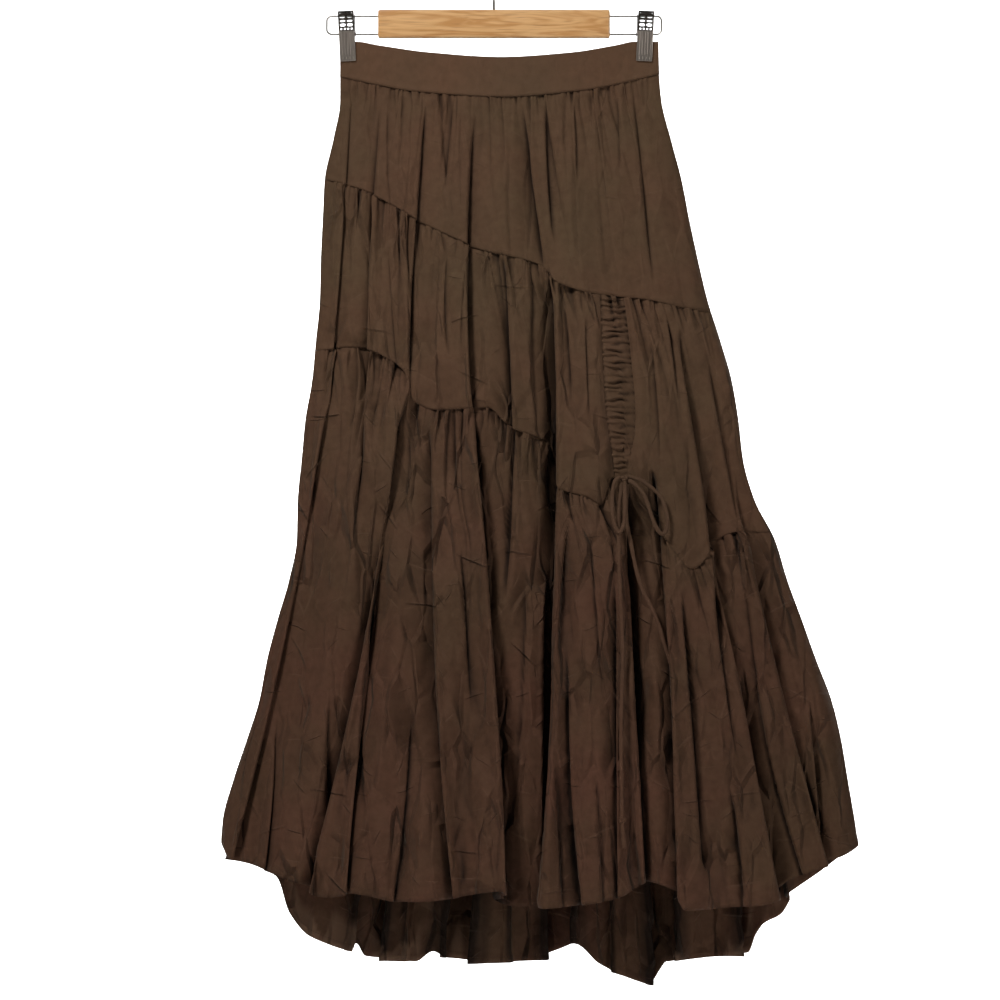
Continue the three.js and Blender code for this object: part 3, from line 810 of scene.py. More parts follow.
# x, drop along each seam and hem
BAND_TOP = ((-160, 95), (-143, 95), (-119, 99), (-66, 107), (7, 112), (79, 107), (126, 99), (146, 95), (171, 95))
BAND_SEAM = ((-160, 131), (-119, 140), (-82, 147), (10, 153), (90, 146), (131, 138), (172, 128))
FRONT_YOKE_SEAM = (
    (-176, 238), (-145, 246), (-110, 263), (-81, 280), (-50, 296), (-10, 313), (44, 327), (67, 347),
    (104, 358), (161, 364), (192, 371), (225, 376),
)
FRONT_MIDDLE_SEAM = (
    (-186, 416), (-146, 413), (-126, 417), (-108, 426), (-93, 438), (-81, 470), (-60, 478), (-5, 476),
    (12, 494), (49, 511), (66, 559), (95, 568), (110, 576), (124, 548), (136, 548), (150, 572),
    (173, 608), (203, 642), (227, 621), (254, 604), (289, 605),
)
FRONT_HEM = (
    (-284, 928), (-274, 943), (-256, 946), (-206, 965), (-173, 979), (-140, 974), (-100, 982), (-57, 980),
    (6, 970), (27, 988), (79, 986), (130, 976), (159, 962), (185, 976), (195, 990), (266, 987),
    (299, 980), (313, 961), (349, 948), (379, 931),
)
BACK_YOKE_SEAM = ((-176, 238), (-90, 262), (15, 305), (120, 350), (225, 376))
BACK_MIDDLE_SEAM = ((-186, 416), (-100, 440), (10, 500), (120, 558), (210, 590), (289, 605))
BACK_HEM = (
    (-284, 928), (-238, 950), (-219, 966), (-212, 1006), (-193, 1033), (-152, 1049), (-146, 1040), (-136, 1054),
    (-84, 1060), (-70, 1048), (-60, 1056), (6, 1062), (38, 1060), (66, 1050), (94, 1040), (112, 1062),
    (132, 1075), (163, 1086), (176, 1068), (182, 1060), (232, 1055), (268, 1050), (276, 1030), (284, 1018),
    (302, 1008), (318, 985), (349, 955), (379, 931),
)
# x from and to where only one layer of the back's hem hangs, and the cloth is painted lighter as light from behind
# shines through it
SINGLE_LAYER = ((-214, -150), (-134, -76), (-50, -30), (196, 212), (238, 276))

# drop, left x, right x of the ruched channel
CHANNEL = ((350, 109, 133), (420, 112, 141), (486, 116, 146), (520, 121, 143), (552, 125, 136))

# Troughs: drop at the start and end, x at the top, middle and bottom, depth at the top and
# bottom, half width, and which way the cloth beside the trough laps over it
FRONT_FOLDS = (
    (140, 499, -147, -156, -171, 4, 7, 9, 0.5), (460, 1010, -168, -216, -284, 8, 13, 11, 0.6),
    (150, 572, -118, -132, -137, 4, 8, 9, -0.4), (540, 1010, -105, -150, -203, 5, 13, 12, -0.5),
    (145, 478, -68, -79, -86, 6, 6, 9, 0.4), (450, 1010, -87, -125, -149, 6, 10, 10, 0.5),
    (150, 269, -42, -47, -52, 4, 3, 8, -0.4), (155, 520, -17, -24, -15, 4, 13, 10, 0.5),
    (480, 1010, -17, 6, 20, 14, 19, 12, 0.5), (300, 696, 7, 16, 14, 5, 7, 9, -0.4),
    (155, 348, 29, 38, 53, 5, 12, 10, -0.5), (322, 1010, 56, 57, 44, 16, 21, 12, -0.3),
    (150, 317, 54, 57, 63, 5, 5, 8, 0.4), (146, 260, 82, 86, 85, 4, 3, 8, 0.3),
    (142, 249, 127, 129, 131, 4, 3, 8, -0.3), (136, 364, 145, 156, 167, 4, 4, 9, 0.4),
    (540, 1010, 164, 176, 184, 13, 11, 10, -0.5), (384, 1010, 191, 245, 305, 5, 16, 12, 0.6),
    (540, 1010, 252, 304, 367, 12, 10, 10, 0.5), (545, 1010, 138, 148, 160, 10, 12, 9, 0.3),
    (640, 1010, 123, 122, 124, 7, 7, 9, -0.4), (490, 1010, -66, -64, -42, 6, 12, 10, -0.5),
    (655, 956, 193, 206, 216, 6, 5, 9, 0.4), (717, 1010, 75, 76, 90, 5, 7, 10, -0.4),
    (780, 1010, -218, -225, -242, 6, 7, 10, 0.4), (385, 680, 57, 60, 54, 17, 18, 5.5, -0.06),
    (640, 1000, 50, 47, 45, 10, 11, 5, 0.4), (560, 860, 136, 146, 152, 20, 17, 5, 0.06),
    (536, 715, 162, 168, 172, 17, 16, 4.5, 0.04), (700, 880, 174, 180, 178, 16, 13, 4, -0.06),
    (720, 990, 9, 13, 14, 9, 9, 5, 0.5), (740, 990, 262, 278, 302, 9, 9, 5.5, 0.4),
    (770, 990, 328, 342, 358, 7, 8, 5.5, 0.4), (548, 740, 221, 228, 238, 7, 6, 12, 0.3),
)
FRONT_CREASES = (
    (150, 300, -109, -110, -104, 2.4, 1.5, 4, 0.3), (160, 330, -86, -90, -101, 1.6, 1.4, 4, -0.3),
    (152, 230, -94, -96, -99, 2.0, 1.0, 4, 0.2), (156, 300, -33, -35, -31, 1.6, 1.0, 4, 0.3),
    (155, 250, 8, 10, 9, 2.0, 1.2, 4, -0.3), (200, 340, 16, 14, 19, 1.5, 1.2, 5, 0.2),
    (150, 290, 71, 74, 79, 2.0, 1.0, 4, 0.2), (148, 210, 99, 101, 102, 2.4, 1.0, 4, -0.2),
    (200, 350, 106, 110, 117, 1.2, 1.0, 6, 0.2), (280, 420, -127, -129, -125, 3.0, 1.6, 6, 0.3),
    (300, 470, -110, -105, -97, 2.0, 1.4, 6, -0.3), (310, 440, -47, -50, -44, 2.6, 1.2, 5, 0.3),
    (330, 430, -30, -33, -36, 2.4, 1.0, 4, 0.2), (350, 520, 38, 38, 44, 2.2, 1.4, 5, 0.3),
    (360, 480, 72, 77, 80, 3.0, 1.6, 6, -0.3), (370, 500, 95, 96, 100, 2.6, 1.6, 5, 0.3),
    (370, 480, 180, 186, 193, 3.0, 2.0, 6, 0.3), (385, 560, 160, 168, 172, 1.8, 1.6, 6, -0.3),
    (420, 620, 222, 242, 260, 4.0, 6.0, 7, 0.5), (470, 600, -98, -100, -112, 3.6, 4.0, 6, 0.4),
    (500, 590, -85, -87, -92, 3.0, 2.0, 5, -0.3), (430, 640, -134, -137, -150, 3.0, 3.0, 6, 0.3),
    (440, 620, -184, -190, -196, 3.0, 3.0, 6, -0.3), (560, 760, -110, -121, -129, 4.0, 4.0, 7, 0.4),
    (700, 920, -127, -131, -126, 4.0, 4.0, 7, -0.3), (600, 800, -36, -28, -22, 2.6, 3.0, 6, 0.3),
    (640, 900, 32, 30, 26, 2.4, 3.0, 6, -0.4), (580, 760, 78, 70, 66, 4.0, 2.0, 6, 0.3),
    (600, 800, 100, 104, 112, 3.0, 4.0, 6, -0.3), (620, 860, 222, 236, 252, 4.0, 4.0, 7, 0.4),
    (660, 980, 262, 284, 326, 4.0, 5.0, 7, -0.4), (780, 1000, -86, -90, -104, 3.0, 4.0, 7, 0.4),
    (820, 1000, 60, 66, 70, 3.0, 4.0, 7, 0.3), (860, 1000, 240, 250, 254, 4.0, 5.0, 8, -0.3),
    (760, 1000, -170, -177, -186, 4.0, 4.0, 7, 0.4), (840, 1000, 102, 108, 110, 3.0, 3.0, 6, 0.3),
)
BACK_FOLDS = (
    (140, 480, -120, -126, -132, 5, 7, 10, 0.4), (150, 560, -60, -52, -58, 5, 13, 11, -0.5),
    (156, 330, 6, 12, 8, 6, 6, 9, 0.4), (150, 540, 70, 82, 96, 5, 10, 11, 0.5),
    (142, 400, 130, 140, 160, 5, 5, 9, -0.4), (475, 1110, -164, -196, -244, 5, 12, 11, 0.5),
    (470, 1110, -110, -130, -174, 7, 16, 12, -0.5), (500, 1110, -72, -92, -113, 5, 14, 11, 0.5),
    (520, 1110, -34, -44, -68, 7, 15, 12, -0.4), (540, 1110, 6, -4, -14, 9, 17, 12, 0.5),
    (560, 1110, 52, 44, 47, 6, 15, 11, -0.5), (580, 1110, 94, 92, 92, 8, 16, 11, 0.4),
    (590, 1110, 140, 150, 156, 7, 15, 12, -0.5), (600, 1110, 180, 196, 204, 6, 14, 11, 0.5),
    (605, 1110, 216, 240, 256, 7, 15, 12, -0.4), (620, 1110, 250, 296, 334, 6, 13, 12, 0.5),
)
BACK_CREASES = (
    (150, 280, -92, -90, -97, 2.4, 1.5, 5, 0.3), (155, 240, -30, -28, -32, 2.2, 1.0, 4, -0.2),
    (158, 330, 36, 42, 40, 2.0, 1.6, 5, 0.3), (150, 260, 106, 108, 112, 2.2, 1.2, 4, -0.3),
    (280, 440, -96, -90, -88, 2.6, 1.6, 6, 0.3), (300, 480, -22, -26, -18, 2.6, 2.0, 6, -0.3),
    (320, 500, 40, 44, 52, 3.0, 2.0, 6, 0.3), (350, 560, 122, 130, 128, 3.0, 2.0, 6, -0.3),
    (380, 560, 176, 190, 200, 3.0, 3.0, 7, 0.3), (450, 700, -140, -150, -168, 3.0, 4.0, 7, 0.3),
    (480, 720, -92, -104, -116, 3.0, 4.0, 7, -0.3), (520, 800, -10, -16, -24, 3.0, 4.0, 7, 0.3),
    (560, 820, 74, 70, 66, 3.0, 4.0, 7, -0.3), (580, 860, 118, 120, 124, 3.0, 4.0, 7, 0.3),
    (600, 900, 200, 214, 226, 3.0, 5.0, 7, 0.3), (650, 1000, 270, 288, 300, 4.0, 5.0, 8, -0.3),
    (700, 1050, -212, -222, -236, 4.0, 5.0, 8, 0.3), (760, 1100, 20, 16, 18, 4.0, 6.0, 8, -0.3),
    (800, 1100, 108, 122, 126, 4.0, 6.0, 8, 0.3), (760, 1100, -88, -90, -94, 4.0, 6.0, 8, -0.3),
)


@dataclass(frozen=True)
class Pleats:
    """A row of uneven pleats under a seam, in millimetres.

    Attributes:
        count: How many go across the whole face.
        depth: About how deep they are.
        reach: About how far down they run.
        width: About half the width of one.
        spread: How unevenly far they run.
        sets_in: How far below the seam they are at their full depth.
    """

    count: int
    depth: float
    reach: float
    width: float
    spread: float = 0.8
    sets_in: float = 3.0

    def relief(self, across: ndarray, drop: ndarray, below: ndarray,
               draw: int) -> tuple[ndarray, ndarray]:
        """How far the cloth stands off at the pleats, and how far it laps sideways.

        Args:
            across: Places between the side seams.
            drop: Their heights.
            below: How far they are below the seam.
            draw: The seed.

        Returns:
            The relief and the shift.
        """
        dice = np.random.default_rng(draw)
        half = SECTION.half(drop)
        relief, shift = np.zeros_like(across), np.zeros_like(across)
        for k in range(self.count):
            place = -1 + 2 * (k + 0.5 + dice.uniform(-0.42, 0.42)) / self.count
            reach = self.reach * math.exp(dice.normal(0.0, self.spread))
            depth = self.depth * dice.uniform(0.3, 1.35)
            width = self.width * dice.uniform(0.7, 1.6)
            slant = dice.normal(0.0, 0.00035)
            lean = dice.choice((-0.5, 0.5))
            away = (across - place - slant * below) * half
            profile, edge = lap(away, width * (1 + below / (1.2 * reach)), lean, 0.3)
            fading = depth * np.exp(-((below / reach) ** 1.4))
            relief += fading * (edge - profile)
            shift -= lean * fading * profile
        ease = smoothstep(below, 0.0, self.sets_in)
        return ease * relief, ease * shift


@dataclass(frozen=True)
class Gathers:
    """The gathers under a tier's upper seam, and the waves towards its lower edge, in millimetres.

    Attributes:
        count: How many broad gathers there are.
        height: How high they are.
        reach: How far down they run.
        puff: How far the cloth bulges below the seam.
        waves: How many waves the lower edge has.
        wave_height: How high those are.
        sewn_below: Whether the lower edge is sewn flat to another tier.
        pleats: The small pleats between the broad gathers.
        puckers: The short sharp puckers at the seam itself.
    """

    count: float
    height: float
    reach: float
    puff: float
    waves: float
    wave_height: float
    sewn_below: bool
    pleats: Pleats
    puckers: Pleats


YOKE_GATHERS = Gathers(
    22, 0.8, 70, 0.6, 5, 1.5, True, Pleats(34, 2.2, 66, 2.6), Pleats(92, 2.8, 10, 2.0, 0.6, 1.6),
)
MIDDLE_GATHERS = Gathers(
    24, 0.9, 60, 1.4, 6, 2.5, True, Pleats(52, 3.4, 46, 2.8, 0.7), Pleats(108, 4.2, 15, 2.3, 0.6, 1.6),
)
LOWER_GATHERS = Gathers(
    26, 1.2, 75, 2.0, 9, 7, False, Pleats(56, 4.6, 58, 3.3, 0.6), Pleats(116, 5.2, 19, 2.7, 0.6, 1.6),
)


@dataclass
class Face:
    """One face of the skirt: its folds and its own uneven pattern."""

    side: Side
    folds: tuple
    creases: tuple
    seed: float
    draw: int


def lap(away: ndarray, width: float | ndarray, lean: float,
        steep: float = 0.14) -> tuple[ndarray, ndarray]:
    """The section of a trough that is steep on one side and gentle on the other.

    Args:
        away: Distances across from the trough.
        width: Its half width.
        lean: Positive where the cloth on the left laps over it, negative for the right.
        steep: The steep side's run as a share of the width.

    Returns:
        The trough's profile, 1 at its bottom, and the roll of the steep side's edge.
    """
    side = 1.0 if lean > 0 else -1.0
    soft = np.where(away * side > 0, 1.3 * width, steep * width)
    round_ = 0.04 * width
    profile = np.exp(-(np.sqrt(away**2 + round_**2) - round_) / soft)
    edge = 0.16 * np.exp(-(((away * side + 0.7 * width) / (0.5 * width)) ** 2))
    return profile, edge


class Section:
    """The skirt's form at every height: a pinched lens at the waist that grows round below."""

    flat_beyond = 0.86
    pinch_ends = 119.0
    opens_at = 230.0
    fold_depth = 2.1
    crease_depth = 1.7

    def __init__(self) -> None:
        """Reads the outline's table."""
        self.left = Curve([(row[0], row[1]) for row in OUTLINE])
        self.right = Curve([(row[0], row[2]) for row in OUTLINE])
        self.depth = Curve([(row[0], row[3]) for row in OUTLINE])

    def middle(self, drop: ndarray) -> ndarray:
        """The middle between the sides at a height."""
        return (self.left(drop) + self.right(drop)) / 2

    def half(self, drop: ndarray) -> ndarray:
        """Half the width at a height."""
        return (self.right(drop) - self.left(drop)) / 2

    def across_of(self, x: ndarray, drop: ndarray) -> ndarray:
        """Where x lies between the side seams, from -1 to 1."""
        return np.clip((x - self.middle(drop)) / self.half(drop), -1.0, 1.0)

    def edge(self, rows: tuple) -> Curve:
        """A seam or hem as a curve over the place between the side seams."""
        return Curve([(float(self.across_of(x, drop)), drop) for x, drop in rows])

    def fullness(self, across: ndarray, drop: ndarray) -> ndarray:
        """How far the section bulges, as a share of its depth.

        Args:
            across: Places between the side seams.
            drop: Their heights.

        Returns:
            The share for each.
        """
        inner = np.maximum(0.0, 1.0 - (across / self.flat_beyond) ** 2) ** 1.3
        round_ = np.maximum(0.0, 1.0 - across**2) ** 0.62
        opening = smoothstep(drop, self.pinch_ends, self.opens_at)
        return inner + (round_ - inner) * opening

    def troughs(self, rows: tuple, x: ndarray, drop: ndarray,
                deepen: float) -> tuple[ndarray, ndarray]:
        """The relief of hand-set troughs, and how far the cloth beside each laps over it.

        Args:
            rows: The table of troughs.
            x: Places across.
            drop: Their heights.
            deepen: A trough's depth as a share of its table's.

        Returns:
            The relief and the sideways shift.
        """
        relief = np.zeros_like(x)
        shift = np.zeros_like(x)
        settle = 0.5 + 0.5 * smoothstep(drop, 200, 460)
        for start, end, top, mid, low, deep_top, deep_low, width, lean in rows:
            t = (drop - start) / (end - start)
            place = top * (1 - t) * (1 - 2 * t) + mid * 4 * t * (1 - t) + low * t * (2 * t - 1)
            soft = min(60.0, 0.25 * (end - start))
            ramp = smoothstep(drop, start, start + soft)
            ramp = ramp * (1 - smoothstep(drop, end - (24.0 if end > 950 else 1.5 * soft), end))
            depth = deepen * (deep_top + (deep_low - deep_top) * np.clip(t, 0, 1)) * ramp * settle
            profile, edge = lap(x - place, 0.86 * width, lean, 0.14 if abs(lean) > 0.1 else 0.6)
            relief += depth * (edge - profile)
            shift -= lean * depth * profile
        return relief, shift

    def point(self, face: Face, across: ndarray, drop: ndarray, proud: ndarray,
              sideways: ndarray) -> ndarray:
        """Points on a face of the skirt.

        Args:
            face: The face.
            across: Places between the side seams.
            drop: Their heights.
            proud: How far gathers stand off there.
            sideways: How far they lap over each other there.

        Returns:
            The points, in millimetres.
        """
        x = self.middle(drop) + self.half(drop) * across
        full = self.depth(drop) * self.fullness(across, drop)
        main, lean = self.troughs(face.folds, x, drop, self.fold_depth)
        small, lesser = self.troughs(face.creases, x, drop, self.crease_depth)
        relief = main + small + proud
        room = 0.7 * full + 0.001
        out = full + np.maximum(0.0, relief) - room * np.tanh(np.maximum(0.0, -relief) / room)
        calm = smoothstep(1 - np.abs(across), 0.0, 0.08)
        return np.stack([x + calm * (lean + lesser + sideways), face.side.value * out, -drop], axis=-1)


SECTION = Section()
FRONT = Face(Side.FRONT, FRONT_FOLDS, FRONT_CREASES, 0.4, 11)
BACK = Face(Side.BACK, BACK_FOLDS, BACK_CREASES, 2.1, 23)


def gather_relief(face: Face, tier: Gathers, across: ndarray, drop: ndarray, below: ndarray,
                  left: ndarray, draw: int) -> tuple[ndarray, ndarray]:
    """Uneven gathers below a seam and small pleats between them, fading with the distance from it.

    Args:
        face: The face of the skirt.
        tier: The tier's gathers.
        across: Places between the side seams.
        drop: Their heights.
        below: How far they are below the seam.
        left: How far they are above the lower edge.
        draw: The seed of the small pleats.

    Returns:
        How far the cloth stands off, and how far it laps sideways.
    """
    drift = 0.9 * np.sin(5.3 * across + face.seed) + 0.6 * np.sin(11.7 * across + 2 * face.seed)
    phase = math.pi * (tier.count * (across + 1) / 2) * 2 + drift * 2
    uneven = 0.72 + 0.28 * np.sin(7.9 * across + 3 * face.seed)
    rise = 1 - np.exp(-below / 3.0)
    fade = np.exp(-below / tier.reach)
    settled = smoothstep(left, 0, 20) if tier.sewn_below else 1.0
    waves = (tier.wave_height * (below / (below + np.maximum(0.001, left)))
             * np.sin(math.pi * tier.waves * across + 2.2 * np.sin(3.1 * across + face.seed)))
    calm = smoothstep(1 - np.abs(across), 0, 0.1)
    broad = tier.puff + tier.height * fade * uneven * np.cos(phase) + waves
    pleats, slide = tier.pleats.relief(across, drop, below, draw)
    puckers, slip = tier.puckers.relief(across, drop, below, draw + 100)
    swell = np.exp(-((below / (1.5 * tier.puckers.reach)) ** 1.4))
    bulge = tier.puckers.depth * smoothstep(below, 0.0, 3.0) * swell
    standing = rise * (broad + 0.4 * tier.pleats.depth * fade) + bulge + pleats + puckers
    return calm * settled * standing, calm * settled * (slide + slip)


def facet_relief(x: ndarray, drop: ndarray, size: tuple[float, float], height: float, draw: int) -> ndarray:
    """Crumpled cloth: nearly flat facets that meet in sharp, uneven creases.

    Args:
        x: Places across.
        drop: Their heights.
        size: About how wide and how tall a facet is, in millimetres.
        height: How far its corners may stand off or lie in.
        draw: The seed.

    Returns:
        The relief.
    """
    dice = np.random.default_rng(draw)
    t = dice.uniform(0, 2 * math.pi, 6)
    across, down = x / size[0], drop / size[1]
    u = across + 0.36 * np.sin(1.3 * down + 0.8 * across + t[0]) + 0.22 * np.sin(2.3 * down - 1.6 * across + t[1])
    v = down + 0.36 * np.sin(1.2 * across + 0.5 * down + t[2]) + 0.22 * np.sin(2.1 * across - 0.9 * down + t[3])
    i, j = np.floor(u).astype(int), np.floor(v).astype(int)
    a, b = u - i, v - j
    corners = dice.uniform(-1, 1, (97, 97))
    low_left, low_right = corners[i % 97, j % 97], corners[(i + 1) % 97, j % 97]
    high_left, high_right = corners[i % 97, (j + 1) % 97], corners[(i + 1) % 97, (j + 1) % 97]
    rising = np.where(a > b, low_left + (low_right - low_left) * a + (high_right - low_right) * b,
                      low_left + (high_left - low_left) * b + (high_right - high_left) * a)
    falling = np.where(a + b < 1, low_left + (low_right - low_left) * a + (high_left - low_left) * b,
                       high_right + (high_left - high_right) * (1 - a) + (low_right - high_right) * (1 - b))
    patchy = 0.62 + 0.38 * np.sin(x / 41 + 1.7 * np.sin(drop / 67 + t[4]) + t[5]) * np.sin(drop / 53 + t[4])
    return height * patchy * np.where((i + j) % 2 == 0, rising, falling)


def crumple_relief(x: ndarray, drop: ndarray, count: int, height: float, draw: int,
                   box: tuple[float, float, float, float]) -> ndarray:
    """Short sharp creases in many directions, as washed cotton has.

    Args:
        x: Places across.
        drop: Their heights.
        count: How many creases.
        height: About how high, in millimetres.
        draw: The seed.
        box: The lowest and highest x, and the lowest and highest drop, that they spread over.

    Returns:
        The relief.
    """
    dice = np.random.default_rng(draw)
    relief = np.zeros_like(x)
    for _ in range(count):
        centre = (dice.uniform(box[0], box[1]), dice.uniform(box[2], box[3]))
        lean = dice.normal(0.0, 0.5) + (math.pi / 2 if dice.random() < 0.22 else 0.0)
        long_, wide = dice.uniform(9, 34), dice.uniform(1.8, 3.4)
        tall = height * dice.uniform(0.4, 1.3) * (1 if dice.random() < 0.5 else -1)
        near = np.nonzero((np.abs(x - centre[0]) < 60) & (np.abs(drop - centre[1]) < 60))
        dx, dz = x[near] - centre[0], drop[near] - centre[1]
        along = dx * math.sin(lean) + dz * math.cos(lean)
        away = dx * math.cos(lean) - dz * math.sin(lean) + 0.004 * along**2
        relief[near] += tall * np.exp(-np.abs(away) / wide) * np.exp(-((along / long_) ** 4))
    return relief


# Cloth pieces


@dataclass
class Cut:
    """How a cloth piece was cut before it was sewn, in metres."""

    width: float
    length: float
    area: float | None = None
    held: str = "gathered"


@dataclass
class ClothPiece:
    """One cut piece of the skirt: where it lies, how fine its mesh is and how it was cut.

    Attributes:
        name: The object's name.
        face: The face of the skirt that it is on.
        top: Its upper edge.
        bottom: Its lower edge.
        nodes: The solids that it stands for.
        cut: Its flat size.
        gathers: The gathers under its upper seam, if it has them.
        columns: How many columns of faces.
        rows: How many rows of faces.
        wall: How thick the cloth is, in millimetres.
        hem: The depth of its turned hem, if it has one.
        shares: The part of the face's width that it covers, from -1 to 1, as curves over the drop.
        crumples: How many creases.
        crumple_height: About how high they are.
        facets: The crumpled facets: their width, height and relief, one row for each size.
        draw: The seed.
        tucked: Whether the upper edge lies under the piece above.
        points: The middle surface, once laid.
        normals: Its way out, once laid.
        place: Its place on the cloth, once laid.
        masks: The painted shade of the hollows and the painted light of the thin hem, once laid.
    """

    name: str
    face: Face
    top: Curve
    bottom: Curve
    nodes: tuple[str, ...]
    cut: Cut
    gathers: Gathers | None = None
    columns: int = 300
    rows: int = 60
    wall: float = 0.5
    hem: float = 0.0
    shares: tuple = (None, None)
    crumples: int = 0
    crumple_height: float = 0.6
    facets: tuple[Point, ...] = ()
    draw: int = 1
    tucked: bool = True
    points: ndarray = field(default=None, repr=False)
    normals: ndarray = field(default=None, repr=False)
    place: ndarray = field(default=None, repr=False)
    masks: dict[str, ndarray] = field(default_factory=dict, repr=False)

    def spread(self) -> ndarray:
        """Column places, closer together where the face turns away at the sides."""
        u = np.linspace(0, 1, self.columns + 1)
        left, right = self.shares
        eased = (1 - np.cos(math.pi * u)) / 2
        if left is not None and right is not None:
            return u
        if left is not None:
            eased = np.sin(math.pi * u / 2)
        elif right is not None:
            eased = 1 - np.cos(math.pi * u / 2)
        return u + (eased - u) * 0.5

    def lay(self) -> None:
        """Works out the middle surface of the cloth and its normals, in millimetres."""
        u = self.spread()[None, :]
        v = (np.linspace(0, 1, self.rows + 1) ** 1.22)[:, None]
        drop = np.broadcast_to(self.top(0.0), (self.rows + 1, self.columns + 1)).astype(float)
        for _ in range(8):
            low = SECTION.across_of(self.shares[0](drop), drop) if self.shares[0] else -1.0
            high = SECTION.across_of(self.shares[1](drop), drop) if self.shares[1] else 1.0
            across = low + (high - low) * u
            above = self.top(across) - (1.6 if self.tucked else 0.0)
            below = self.bottom(across) + (0.0 if self.hem else 0.5)
            drop = above + (below - above) * v
        across = np.broadcast_to(across, drop.shape)
        down, left = drop - above, below - drop
        proud, sideways = np.zeros_like(drop), np.zeros_like(drop)
        x = SECTION.middle(drop) + SECTION.half(drop) * across
        if self.gathers:
            start = np.maximum(down - 1.2, 0)
            proud, sideways = gather_relief(self.face, self.gathers, across, drop, start, left, self.draw)
        if self.crumples:
            box = (x.min(), x.max(), drop.min(), drop.max())
            fade = smoothstep(down, 0, 12) * smoothstep(1 - np.abs(across), 0, 0.06)
            fade = fade * (1.0 if self.hem else smoothstep(left, 0, 14))
            relief = crumple_relief(x, drop, self.crumples, self.crumple_height, self.draw + 7, box)
            proud = proud + fade * relief
        loose = smoothstep(down, 0, 9) * (1.0 if self.hem else smoothstep(left, 0, 9))
        loose = loose * smoothstep(1 - np.abs(across), 0, 0.08)
        for k, (wide, tall, height) in enumerate(self.facets):
            proud = proud + loose * facet_relief(x, drop, (wide, tall), height, self.draw + 17 * k)
        sewn = np.ones_like(x)
        if self.shares[0]:
            sewn = sewn * smoothstep(x - self.shares[0](drop), 0.5, 8.0)
        if self.shares[1]:
            sewn = sewn * smoothstep(self.shares[1](drop) - x, 0.5, 8.0)
        proud, sideways = sewn * proud, sewn * sideways
        proud = proud + self.own_relief(x, drop, down, left)
        points = SECTION.point(self.face, across, drop, proud, sideways)
        clear = smoothstep(1 - np.abs(across), 0.0, 0.03)
        points[..., 1] += self.face.side.value * (clear * self.lift(down, left) - 0.3 * (1 - clear))
        self.points = points
        # Painted shade: the material darkens the cloth by how deep it lies between its neighbours.
        self.masks["painted_shade"] = self.hollows() * smoothstep(1 - np.abs(across), 0.01, 0.1)
        # Painted light: on the back hem's single layer the material lightens the cloth, as light from behind shines
        # through it.
        if self.hem and self.face.side is Side.BACK:
            single = sum(smoothstep(x, low, low + 8) * (1 - smoothstep(x, high - 8, high))
                         for low, high in SINGLE_LAYER)
            ragged = 30 + 16 * np.sin(x / 7.0) + 9 * np.sin(x / 3.1 + 1)
            self.masks["thin"] = 0.5 * single * (1 - smoothstep(left, 0.5 * ragged, ragged))
        right = np.gradient(points, axis=1)
        fall = np.gradient(points, axis=0)
        normals = np.cross(fall, right) * (1 if self.face.side is Side.FRONT else -1)
        self.normals = normals / np.maximum(1e-9, np.linalg.norm(normals, axis=2))[..., None]
        self.place = np.stack([(self.cut.width * u + 0 * v), (self.cut.length * v + 0 * u)], axis=-1)

    def hollows(self) -> ndarray:
        """How deep each point lies between the folds and gathers beside it, from 0 to 1: the mask by which the material
        paints shade.
        """
        out = self.face.side.value * self.points[..., 1]
        step = np.abs(np.diff(self.points[..., 0], axis=1)).mean()
        deep = np.zeros_like(out)
        for reach, full in ((3.5, 1.5), (13.0, 8.0)):
            k = max(1, round(reach / step))
            run = np.cumsum(np.pad(np.pad(out, ((0, 0), (k, k)), mode="edge"), ((0, 0), (1, 0))), axis=1)
            mean = (run[:, 2 * k + 1:] - run[:, :-2 * k - 1]) / (2 * k + 1)
            deep += 0.5 * np.clip((mean - out) / full, 0, 1)
        return deep

    def own_relief(self, x: ndarray, drop: ndarray, down: ndarray, left: ndarray) -> ndarray:
        """A relief that only this piece has."""
        return np.zeros_like(x)

    def lift(self, down: ndarray, left: ndarray) -> ndarray:
        """How far the cloth lies outside the skirt's form, under one seam and over the next.

        Args:
            down: The distance below the upper edge.
            left: The distance above the lower edge.

        Returns:
            The lift, in millimetres.
        """
        base = 0.45 * np.ones_like(down)
        if self.tucked:
            base = base - 0.75 * (1 - smoothstep(down, 0.2, 2.6))
        if not self.hem:
            base = base + 0.7 * (1 - smoothstep(left, 1.0, 6.0))
        return base

    def thickness(self) -> ndarray:
        """How thick the cloth is at each row: a turned hem is three layers thick."""
        thick = np.full(self.points.shape[:2], self.wall)
        if self.hem:
            run = np.linalg.norm(np.diff(self.points, axis=0), axis=2)
            left = np.concatenate([np.cumsum(run[::-1], axis=0)[::-1], np.zeros_like(run[:1])])
            thick = thick + 0.7 * (1 - smoothstep(left, self.hem - 0.8, self.hem + 0.8))
            thick = thick * (0.35 + 0.65 * smoothstep(left, -0.2, 1.4))
        return thick

